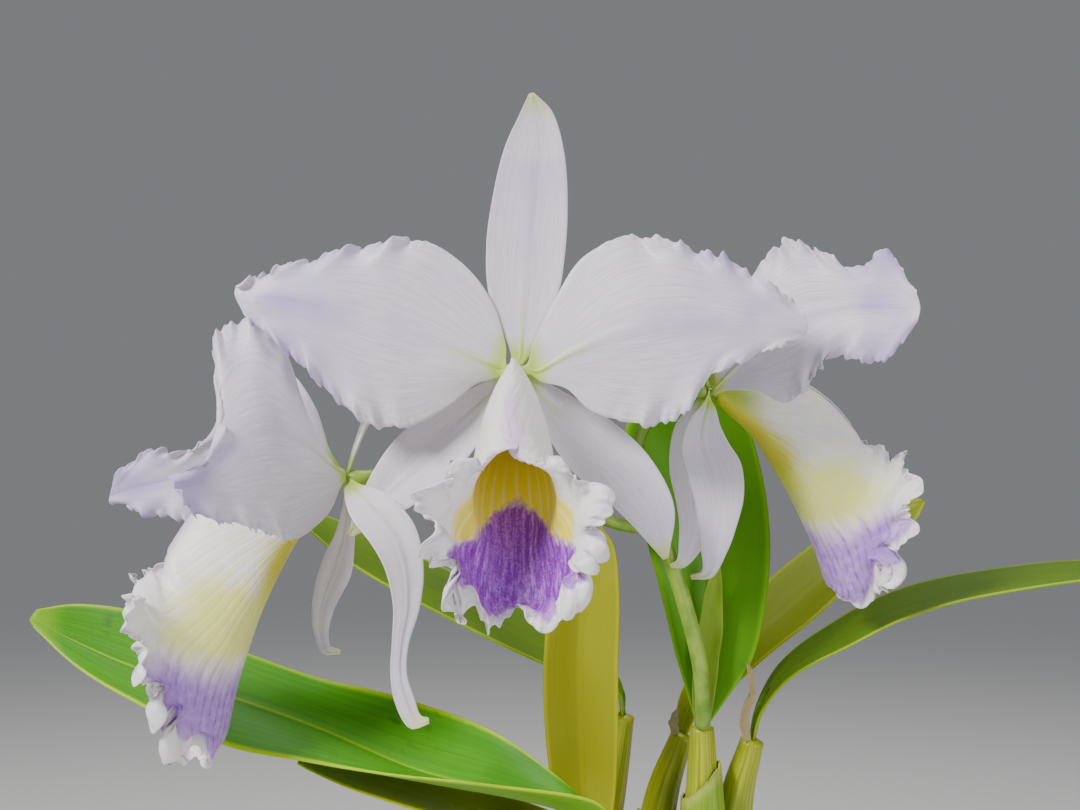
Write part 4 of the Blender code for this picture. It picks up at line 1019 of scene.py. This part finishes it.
def claw(bloom, angle, plane, radius=WHORL_RADIUS, half_width=CLAW_HALF_WIDTH):
    """The midrib, left and right points where a blade leaves the hub, at this angle above its right."""
    turn = math.radians(angle)
    out = (math.cos(turn), math.sin(turn))
    centre = hub_point(bloom, radius * out[0], plane, radius * out[1])
    side = hub_point(bloom, -out[1] * half_width, 0, out[0] * half_width)
    return centre, centre - side, centre + side


def petal_claw(bloom, angle):
    """The narrow start of a petal, straight out of the hub: its midrib, upper and lower margin."""
    starts = []
    for radius, half_width, plane in ((WHORL_RADIUS, CLAW_HALF_WIDTH, 0.0), CLAW_END):
        centre, one, other = claw(bloom, angle, plane, radius, half_width)
        starts.append((centre, one, other) if one[2] > other[2] else (centre, other, one))
    return zip(*starts)


# Blooms


def lip_grid(steps, apron, phase):
    """The lip's surface in its own frame, right, forward, down, and where each point of it lies."""
    tube, mouth, across = steps
    s = np.concatenate([np.linspace(0, TUBE_END, tube, endpoint=False), np.linspace(TUBE_END, 1, mouth + 1)])
    rows = np.array([[*under, *margin, gap, low, high] for under, margin, gap, low, high in LIP_ROWS])
    at = np.interp(s, np.linspace(0, 1, 201), even_steps(rows[:, 2:4], 200))
    rows = curve_at(rows, at)[:, :, None]
    s = s[:, None]
    theta = np.linspace(-1, 1, across + 1)[None, :]
    q = np.abs(theta)
    under, margin, low, high = rows[:, 0:2], rows[:, 2:4], rows[:, 5], rows[:, 6]
    closed = 1 - smooth(0.43, 0.5, s)
    gap = np.maximum(rows[:, 4], LIP_SEAM) - LIP_LAP * closed * (theta > 0)
    b0, b1, b2, b3 = (1 - q) ** 3, 3 * q * (1 - q) ** 2, 3 * q * q * (1 - q), q**3
    side = np.sign(theta) * (b1 * low + b2 * (gap + high) + b3 * gap)
    plane = [(b0 + b1) * under[:, k] + (b2 + b3) * margin[:, k] for k in (0, 1)]
    down = plane[1] + (apron - 1) * np.maximum(plane[1] - APRON_TOP, 0)
    grid = np.stack([side, plane[0], down], axis=-1)
    lift = LIP_LAP_LIFT * closed * smooth(0.66, 0.95, theta)
    grid = grid - grid_normals(grid) * lift[..., None]
    grid, run = frilled_lip(grid, s, theta, phase)
    return grid, s + 0 * theta, theta + 0 * s, run


def margin_run(grid, turn):
    """How far round the lip's margin from its front the ray through each point comes out, in millimetres."""
    last = grid.shape[0] - 1
    right = [(i, grid.shape[1] - 1) for i in range(last)]
    front = [(last, j) for j in range(grid.shape[1] - 1, 0, -1)]
    left = [(i, 0) for i in range(last, -1, -1)]
    edge = tuple(np.array(right + front + left).T)
    lengths = np.linalg.norm(np.diff(grid[edge], axis=0), axis=1)
    run = np.concatenate([[0], np.cumsum(lengths)])
    return np.interp(-turn, -turn[edge], run) - np.interp(0, -turn[edge], run)


def frilled_lip(grid, s, theta, phase):
    """Crimps that fan out to the lip's free margin, which goes in and out with them."""
    ahead = (s - FAN_START) / (1 - FAN_START)
    reach = np.hypot(np.clip(ahead, 0, 1), theta)
    turn = np.arctan2(theta, ahead)
    along, across = (unit(np.gradient(grid, axis=k)) for k in (0, 1))
    outward = unit(along * np.cos(turn)[..., None] + across * np.sin(turn)[..., None])
    sideways = unit(along * np.sin(turn)[..., None] - across * np.cos(turn)[..., None])
    normals = grid_normals(grid)
    run = margin_run(grid, turn)
    moved = np.zeros_like(grid)
    for number, (length, height, pull, sway, start) in enumerate(LIP_RUFFLES):
        edge = smooth(start, 1.05, reach) * smooth(0.42, 0.6, s)
        wave = 2 * math.pi * run / length + phase
        if number:
            wave = wave + 1.5 * uneven(run / length, phase)
            edge = edge * (0.8 + 0.4 * uneven(0.6 * run / length, 1.9 * phase))
        swing = height * normals + sway * sideways
        moved += swing * (edge * np.sin(wave))[..., None] + outward * (pull * edge * np.cos(wave))[..., None]
    return grid + moved, run


def fading(low, high, value):
    """One below low, nothing above high."""
    return 1 - smooth(low, high, value)


def lip_marks(s, theta):
    """Where the lip's colours lie, each from 0 to 1, and the angle of the vein through each point."""
    q = np.abs(theta)
    start = 0.38 + 0.56 * q
    front = 0.42 + 0.27 * q
    margin = np.hypot(np.clip((s - FAN_START) / (1 - FAN_START), 0, 1), theta)
    side = 0.62 + 0.14 * np.sin(math.pi * np.clip((s - 0.6) / 0.4, 0, 1))
    blotch = fading(side - 0.16, side + 0.16, q) * fading(0.86, 1.02, s)
    belt = smooth(front - 0.24, front - 0.08, s) * fading(front - 0.02, front + 0.12, s)
    return {
        "violet": smooth(start - 0.07, start + 0.07, s) * blotch,
        "gold": smooth(0.0, 0.1, s) * fading(start - 0.05, start + 0.06, s) * fading(0.42, 0.74, q),
        "throat": fading(0.04, 0.2, s),
        "keel": fading(0.1, 0.55, q) * fading(0.24, 0.44, s),
        "band": belt * fading(0.4, 0.9, q),
        "blush": smooth(front - 0.02, front + 0.17, s) * fading(0.86, 1.12, margin),
        "seam": smooth(0.78, 0.99, q) * smooth(0.2, 0.4, s) * fading(0.5, 0.58, s),
        "margin": smooth(0.78, 1.08, margin) * smooth(0.46, 0.6, s),
        "ray": np.arctan2(theta, s + 0.25),
    }


def make_lip(place, bloom):
    shape = bloom["lip"]
    grid, s, theta, run = lip_grid(LIP_GRID, shape["apron"], shape["phase"])
    tilt = math.radians(shape["pitch"])
    size = 1 + (shape["size"] - 1) * smooth(1.5, 12, grid[..., 1])
    turn = smooth(1.5, 12, grid[..., 1]) * tilt
    right = grid[..., 0] * size
    forward = (grid[..., 1] * np.cos(turn) - grid[..., 2] * np.sin(turn)) * size
    down = (grid[..., 1] * np.sin(turn) + grid[..., 2] * np.cos(turn)) * size
    axes = bloom_axes(bloom)
    points = right[..., None] * axes[0] + forward[..., None] * axes[1] - down[..., None] * axes[2]
    points = points + np.array(bloom["junction"])
    marks = {**lip_marks(s, theta), "run": run}
    settle(blade(f"{place}_lip", points, LIP_THICK, s, theta, marks), "lip")


def make_petal(place, bloom, name, angle, phase):
    curves = [[*start, *line] for start, line in zip(petal_claw(bloom, angle), bloom[name])]
    grid = blade_grid(curves, PETAL_GRID)
    grid = grooved(rolling(grid, 0.5, phase), 0.5, 0.07, fade=0.9)
    grid = ruffled(grid, PETAL_RUFFLES, phase)
    settle(blade(f"{place}_{name}", grid + np.array(bloom["junction"]), PETAL_THICK), "petal")


def make_sepal(place, bloom, name, angle):
    mid, widths, face = bloom[name]
    centre, one, other = claw(bloom, angle, SEPAL_PLANE)
    _, left, right = ribbon([centre, *mid], [CLAW_HALF_WIDTH, *widths], face, channel=0.12)
    if np.linalg.norm(one - left[0]) > np.linalg.norm(one - right[0]):
        one, other = other, one
    curves = ([centre, *mid], [one, *left[1:]], [other, *right[1:]])
    grid = grooved(rolling(blade_grid(curves, SEPAL_GRID), 0.25, angle), 0.35, 0.1, fade=0.8)
    settle(blade(f"{place}_{name}", grid + np.array(bloom["junction"]), SEPAL_THICK), "sepal")


def make_column(place, bloom):
    """The column bows forward, is broadest near its end and carries its cap there."""
    route = [(HUB_FRONT + 0.35, 0), (6, 1.2), (13, 3), (20, 5.5), (24, 7.8), (26, 9)]
    points = [np.array(bloom["junction"]) + hub_point(bloom, 0, forward, -down) for forward, down in route]
    settle(swept(f"{place}_column", points, [1.5, 1.8, 2.3, 2.8, 2.5, 1.5], COLUMN_GRID), "column")


def make_blooms():
    for number, (place, bloom) in enumerate(BLOOMS.items()):
        make_sepal(place, bloom, "sepal_dorsal", 90)
        make_sepal(place, bloom, "sepal_left", 210)
        make_sepal(place, bloom, "sepal_right", -30)
        make_petal(place, bloom, "petal_left", 166, 0.7 + number)
        make_petal(place, bloom, "petal_right", 14, 2.1 + number)
        make_lip(place, bloom)
        make_column(place, bloom)


# Stem, leaves, pseudobulbs and sheaths


def make_flower_stem():
    """The stem and the three stalks that grew from it, joined in one piece."""
    stem = swept("flower_stem", FLOWER_STEM, FLOWER_STEM_RADII, STEM_GRID)
    for place, route in STALKS.items():
        bloom = BLOOMS[place]
        behind = (0, STALK_SHOULDER, STALK_STRAIGHT)
        forward = [HUB_FRONT, *(HUB_SHOULDER - step for step in behind)]
        hub = [np.array(bloom["junction"]) + hub_point(bloom, 0, step, 0) for step in forward]
        slim = np.linspace(STALK_NECK_RADIUS, STALK_RADIUS, len(route) + 1)
        radii = [HUB_RADIUS, HUB_RADIUS, STALK_NECK_RADIUS, *slim]
        stalk = swept(f"stalk_{place}", [*hub, *route], radii, STALK_GRID)
        join(stem, stalk)
    settle(stem, "stem")


def join(obj, other):
    """Unites other with obj, and removes other."""
    union = obj.modifiers.new("join", "BOOLEAN")
    union.operation = "UNION"
    union.object = other
    apply_modifiers(obj)
    bpy.data.objects.remove(other)


def apply_modifiers(obj):
    graph = bpy.context.evaluated_depsgraph_get()
    mesh = bpy.data.meshes.new_from_object(obj.evaluated_get(graph))
    obj.modifiers.clear()
    obj.data = mesh
    mesh.shade_smooth()


def make_leaves():
    for number, (name, leaf) in enumerate(LEAVES.items()):
        curves = leaf.get("curves")
        if curves is None:
            curves = ribbon(leaf["mid"], leaf["widths"], leaf["face"], leaf["channel"])
        grid = rolling(blade_grid(curves, LEAF_GRID, crease=1.35), 0.35, 1.3 * number)
        grid = grooved(grid, 0.7, 0.045, fade=0.6)
        settle(blade(name, grid, LEAF_THICK), name)


def bulb_line(name):
    """The points and radii of a pseudobulb, slim at the foot and thickest above the middle."""
    points, thickest = BULBS[name]
    points = [(*points[0], BULB_FOOT), (*points[0], BULB_FOOT + BULB_NECK), *points[1:]]
    radii = [BULB_FOOT_RADIUS, 0.62 * thickest, thickest, 0.74 * thickest, BULB_TOP_RADIUS]
    return points, radii


def make_bulbs():
    for number, name in enumerate(BULBS):
        points, radii = bulb_line(name)
        flutes = [(7, 0.035, 1.7 * number), (12, 0.02, 0.6 + number)]
        settle(swept(name, points, radii, BULB_GRID, flutes), "bulb")


def make_bulb_sheath(name, bulb, first, last, slant, colour, torn):
    """A thin sleeve round a bulb, between two of its stations, with a slanting, slightly torn upper edge."""
    points, radii = bulb_line(bulb)
    at = even_steps(points, BULB_STEPS)
    centres, radii = curve_at(points, at), curve_at(np.array(radii)[:, None], at)[:, 0]
    clear = SEAT_GAP + SHEATH_THICK[0] / 2 + SHEATH_SLACK
    rows = np.linspace(first, last, FINE_SLEEVE[1])
    angles = np.linspace(0, 2 * math.pi, FINE_SLEEVE[0], endpoint=False)
    ragged = np.sin(5 * angles + 1.3) + 0.6 * np.sin(13 * angles) + 0.4 * np.sin(29 * angles + 2)
    grid = np.empty((len(rows), len(angles), 3))
    for k, row in enumerate(rows):
        rise = k / (len(rows) - 1)
        place = row + slant * rise * np.cos(angles) - torn * np.abs(ragged) * rise**6
        centre = curve_at(centres, place)
        ribs = 0.1 * np.sin(17 * angles) + 0.12 * np.sin(3 * angles + 4 * rise)
        radius = curve_at(radii[:, None], place)[:, 0] + clear + ribs
        ring = np.stack([np.cos(angles), np.sin(angles), 0 * angles], axis=-1)
        grid[k] = centre + ring * radius[:, None]
    settle(sleeve(name, grid, SHEATH_THICK), colour)


def make_sheaths():
    make_bulb_sheath("bulb_sheath_2", "pseudobulb_2", 4.0, 9.6, 0.5, "sheath", 0.05)
    make_bulb_sheath("bulb_sheath_1", "pseudobulb_1", 2.0, 8.2, -0.5, "dry", 0.35)
    make_bulb_sheath("bulb_sheath_3", "pseudobulb_3", 2.0, 8.4, 0.4, "dry", 0.4)
    for name, (mid, widths, face, channel, colour) in BRACTS.items():
        grid = ruffled(blade_grid(ribbon(mid, widths, face, channel), BRACT_GRID), BRACT_RUFFLES, 0.4, 0.2)
        settle(blade(name, grid, SHEATH_THICK), colour)


def make_rhizomes():
    for name, route in RHIZOMES.items():
        points = [(*place, RHIZOME_LEVEL) for place in route]
        radii = [2.6] + [RHIZOME_RADIUS] * (len(points) - 2) + [2.2]
        settle(swept(name, points, radii, RHIZOME_GRID, [(5, 0.04, 0.5)]), "rhizome")


# Pot and bark


def pot_inner_radius(height):
    """The inner radius of the pot's wall at a height."""
    share = height / POT_HEIGHT
    return POT_FOOT_RADIUS + (POT_TOP_RADIUS - POT_RIM_PROUD - POT_FOOT_RADIUS) * share - POT_WALL


def rounded(profile, corner, steps=5):
    """The profile with each inner corner cut by a small arc."""
    points = [profile[0]]
    for before, at, after in zip(profile, profile[1:], profile[2:]):
        before, at, after = (np.array(p, float) for p in (before, at, after))
        reach = min(corner, np.linalg.norm(before - at) * 0.45, np.linalg.norm(after - at) * 0.45)
        start, end = at + unit(before - at) * reach, at + unit(after - at) * reach
        for f in np.linspace(0, 1, steps):
            points.append(tuple((1 - f) ** 2 * start + 2 * f * (1 - f) * at + f**2 * end))
    return points + [profile[-1]]


def subdivided(profile, length):
    """The profile with no stretch longer than this."""
    points = [profile[0]]
    for start, end in zip(profile, profile[1:]):
        count = max(1, math.ceil(math.dist(start, end) / length))
        points += [tuple(np.array(start) + (np.array(end) - start) * k / count) for k in range(1, count + 1)]
    return points


def turned(name, profile, steps):
    """A profile of (radius, height), from the axis to the axis, turned about Z."""
    rings = profile[1:-1]
    angles = np.linspace(0, 2 * math.pi, steps, endpoint=False)
    points = [(r * math.cos(v), r * math.sin(v), z) for r, z in rings for v in angles]
    points += [(0, 0, profile[0][1]), (0, 0, profile[-1][1])]
    faces = grid_faces(len(rings), steps, closed=True)
    first, last = len(points) - 2, len(points) - 1
    for j in range(steps):
        k = (j + 1) % steps
        faces.append([first, j, k])
        faces.append([last, (len(rings) - 1) * steps + k, (len(rings) - 1) * steps + j])
    return add_mesh(name, points, faces)


def make_pot():
    rim_foot = POT_HEIGHT - POT_RIM_HEIGHT
    outer_at_rim = pot_inner_radius(rim_foot) + POT_WALL
    profile = [
        (0, POT_FLOOR),
        (pot_inner_radius(POT_FLOOR), POT_FLOOR),
        (pot_inner_radius(POT_HEIGHT), POT_HEIGHT - POT_ROUNDING),
        (pot_inner_radius(POT_HEIGHT) + POT_ROUNDING, POT_HEIGHT),
        (POT_TOP_RADIUS - POT_ROUNDING, POT_HEIGHT),
        (POT_TOP_RADIUS, POT_HEIGHT - POT_ROUNDING),
        (outer_at_rim + POT_RIM_PROUD, rim_foot),
        (outer_at_rim, rim_foot - POT_ROUNDING),
        (POT_FOOT_RADIUS + 0.4, POT_ROUNDING),
        (POT_FOOT_RADIUS - POT_ROUNDING, 0),
        (0, 0),
    ]
    pot = turned("pot", subdivided(rounded(profile, 1.4), 3.0), POT_STEPS)
    cutters = []
    for number in range(DRAIN_COUNT):
        turn = 2 * math.pi * number / DRAIN_COUNT
        place = (DRAIN_RING * math.cos(turn) * MM, DRAIN_RING * math.sin(turn) * MM, POT_FLOOR / 2 * MM)
        bpy.ops.mesh.primitive_cylinder_add(vertices=48, radius=DRAIN_RADIUS * MM, depth=3 * POT_FLOOR * MM,
                                            location=place)
        cutters.append(bpy.context.object)
        cut = pot.modifiers.new(f"drain_{number}", "BOOLEAN")
        cut.operation = "DIFFERENCE"
        cut.object = cutters[-1]
    apply_modifiers(pot)
    for cutter in cutters:
        bpy.data.objects.remove(cutter)
    settle(pot, "pot")


def bark_level(x, y, paths):
    """The height of the bark bed at a place: broken relief, level under the rhizomes."""
    near = np.min(np.hypot(paths[:, 0] - x, paths[:, 1] - y))
    rough = 0.5 + 0.5 * math.sin(0.61 * x + 1.7 * math.sin(0.33 * y)) * math.cos(0.53 * y + 0.9)
    return BARK_TOP - BARK_RELIEF * rough * float(smooth(*BARK_LEVEL_REACH, near))


def bark_chip(rng, place, size):
    """A broken lump of bark: points and faces of a flattened block with uneven corners and rough sides."""
    build = bmesh.new()
    bmesh.ops.create_cube(build, size=2)
    bmesh.ops.subdivide_edges(build, edges=build.edges[:], cuts=2, use_grid_fill=True)
    half = np.array([size, size * rng.uniform(0.5, 0.85), size * rng.uniform(0.22, 0.4)])
    pinch = rng.uniform(0.62, 1.0, (2, 2, 2))
    turn = Euler((rng.normal(0, 0.28), rng.normal(0, 0.28), rng.uniform(0, 2 * math.pi))).to_matrix()
    points = []
    for vertex in build.verts:
        p = np.array(vertex.co)
        corner = pinch[int(p[0] > 0), int(p[1] > 0), int(p[2] > 0)]
        p = p / max(1.0, np.linalg.norm(p) / 1.36) * (0.72 + 0.28 * corner) * half
        p = p + rng.normal(0, size * 0.035, 3)
        points.append(np.array(turn @ Vector(p)) + place)
    build.verts.index_update()
    faces = [[v.index for v in face.verts] for face in build.faces]
    build.free()
    return points, faces


def make_bark():
    """The bed of bark with loose chips half sunk in it."""
    rng = np.random.default_rng(7)
    edge = pot_inner_radius(BARK_TOP) - BARK_EDGE_GAP
    foot = POT_FLOOR + SEAT_GAP
    profile = [(edge * k / 40, BARK_TOP) for k in range(41)]
    profile += [(pot_inner_radius(foot) - BARK_EDGE_GAP, foot), (0, foot)]
    bed = turned("bark", profile, BARK_STEPS)
    paths = np.vstack([curve_at(route, np.linspace(0, len(route) - 1, 60)) for route in RHIZOMES.values()])
    for vertex in bed.data.vertices:
        x, y, z = (value / MM for value in vertex.co)
        if z > BARK_TOP - 1:
            vertex.co.z = bark_level(x, y, paths) * MM
    points = [tuple(np.array(v.co) / MM) for v in bed.data.vertices]
    faces = [list(face.vertices) for face in bed.data.polygons]
    tones = [0.35] * len(points)
    for number in range(BARK_CHIPS):
        radius = (edge - 7) * math.sqrt((number + 0.5) / BARK_CHIPS)
        turn = number * GOLDEN_ANGLE
        x, y = radius * math.cos(turn) + rng.normal(0, 1.2), radius * math.sin(turn) + rng.normal(0, 1.2)
        near = np.min(np.hypot(paths[:, 0] - x, paths[:, 1] - y))
        size = rng.uniform(4.0, 8.0)
        if near < RHIZOME_RADIUS + 1.5 + size * 0.75:
            size = rng.uniform(2.6, 3.6)
        if near < RHIZOME_RADIUS + 1.0 + size * 0.75:
            continue
        place = np.array([x, y, bark_level(x, y, paths) + rng.uniform(-0.1, 0.15) * size])
        more, sides = bark_chip(rng, place, size)
        faces += [[index + len(points) for index in side] for side in sides]
        points += [tuple(p) for p in more]
        tones += [rng.uniform(0, 1)] * len(more)
    bpy.data.objects.remove(bed)
    bark = add_mesh("bark", points, faces, {"tone": tones})
    bark.data.shade_flat()
    settle(bark, "bark")


# Camera, light and floor

BACKDROP = (0.20, 0.206, 0.216, 1.0)
FLOOR_RADIUS = 12.0
FLOOR_FADES = (0.7, 2.4)


def add_camera():
    """It stands level before the middle bloom, where the plant was seen from."""
    data = bpy.data.cameras.new("camera")
    data.lens = 50
    data.sensor_width = 36
    camera = bpy.data.objects.new("camera", data)
    camera.location = (-0.037, -0.5, 0.347)
    camera.rotation_euler = (math.pi / 2, 0, 0)
    bpy.context.scene.collection.objects.link(camera)
    bpy.context.scene.camera = camera


def add_light(name, place, target, size, energy, colour):
    data = bpy.data.lights.new(name, "AREA")
    data.shape = "DISK"
    data.size = size
    data.energy = energy
    data.color = colour
    light = bpy.data.objects.new(name, data)
    light.location = place
    light.rotation_euler = (Vector(target) - Vector(place)).to_track_quat("-Z", "Y").to_euler()
    bpy.context.scene.collection.objects.link(light)


def add_stage():
    middle = (-0.03, -0.02, 0.3)
    add_light("key", (-0.85, -0.8, 1.15), middle, 0.45, 27, (1.0, 0.985, 0.96))
    add_light("fill", (0.9, -0.95, 0.55), middle, 0.6, 6, (0.95, 0.97, 1.0))
    add_light("top", (0.25, 0.35, 1.5), middle, 0.6, 8, (1.0, 1.0, 1.0))
    bpy.ops.mesh.primitive_circle_add(vertices=128, radius=FLOOR_RADIUS, fill_type="NGON", location=(0, 0, 0))
    floor = bpy.context.object
    floor.name = "floor"
    shade = Shade("floor", 0.8, Specular_IOR_Level=0.0, Emission_Color=BACKDROP)
    away = shade.add("ShaderNodeVectorMath", {0: shade.place()}, 1, operation="LENGTH")
    far = shade.between(away, *FLOOR_FADES)
    shade.give("Emission Strength", far)
    floor.data.materials.append(shade.finish(shade.mix(far, srgb(222, 221, 219), (0, 0, 0, 1))))
    world = bpy.data.worlds.new("world")
    world.use_nodes = True
    world.node_tree.nodes["Background"].inputs["Color"].default_value = BACKDROP
    world.node_tree.nodes["Background"].inputs["Strength"].default_value = 1.0
    bpy.context.scene.world = world


add_camera()
LOOKS = make_materials()
make_blooms()
make_flower_stem()
make_leaves()
make_bulbs()
make_sheaths()
make_rhizomes()
make_pot()
make_bark()
add_stage()
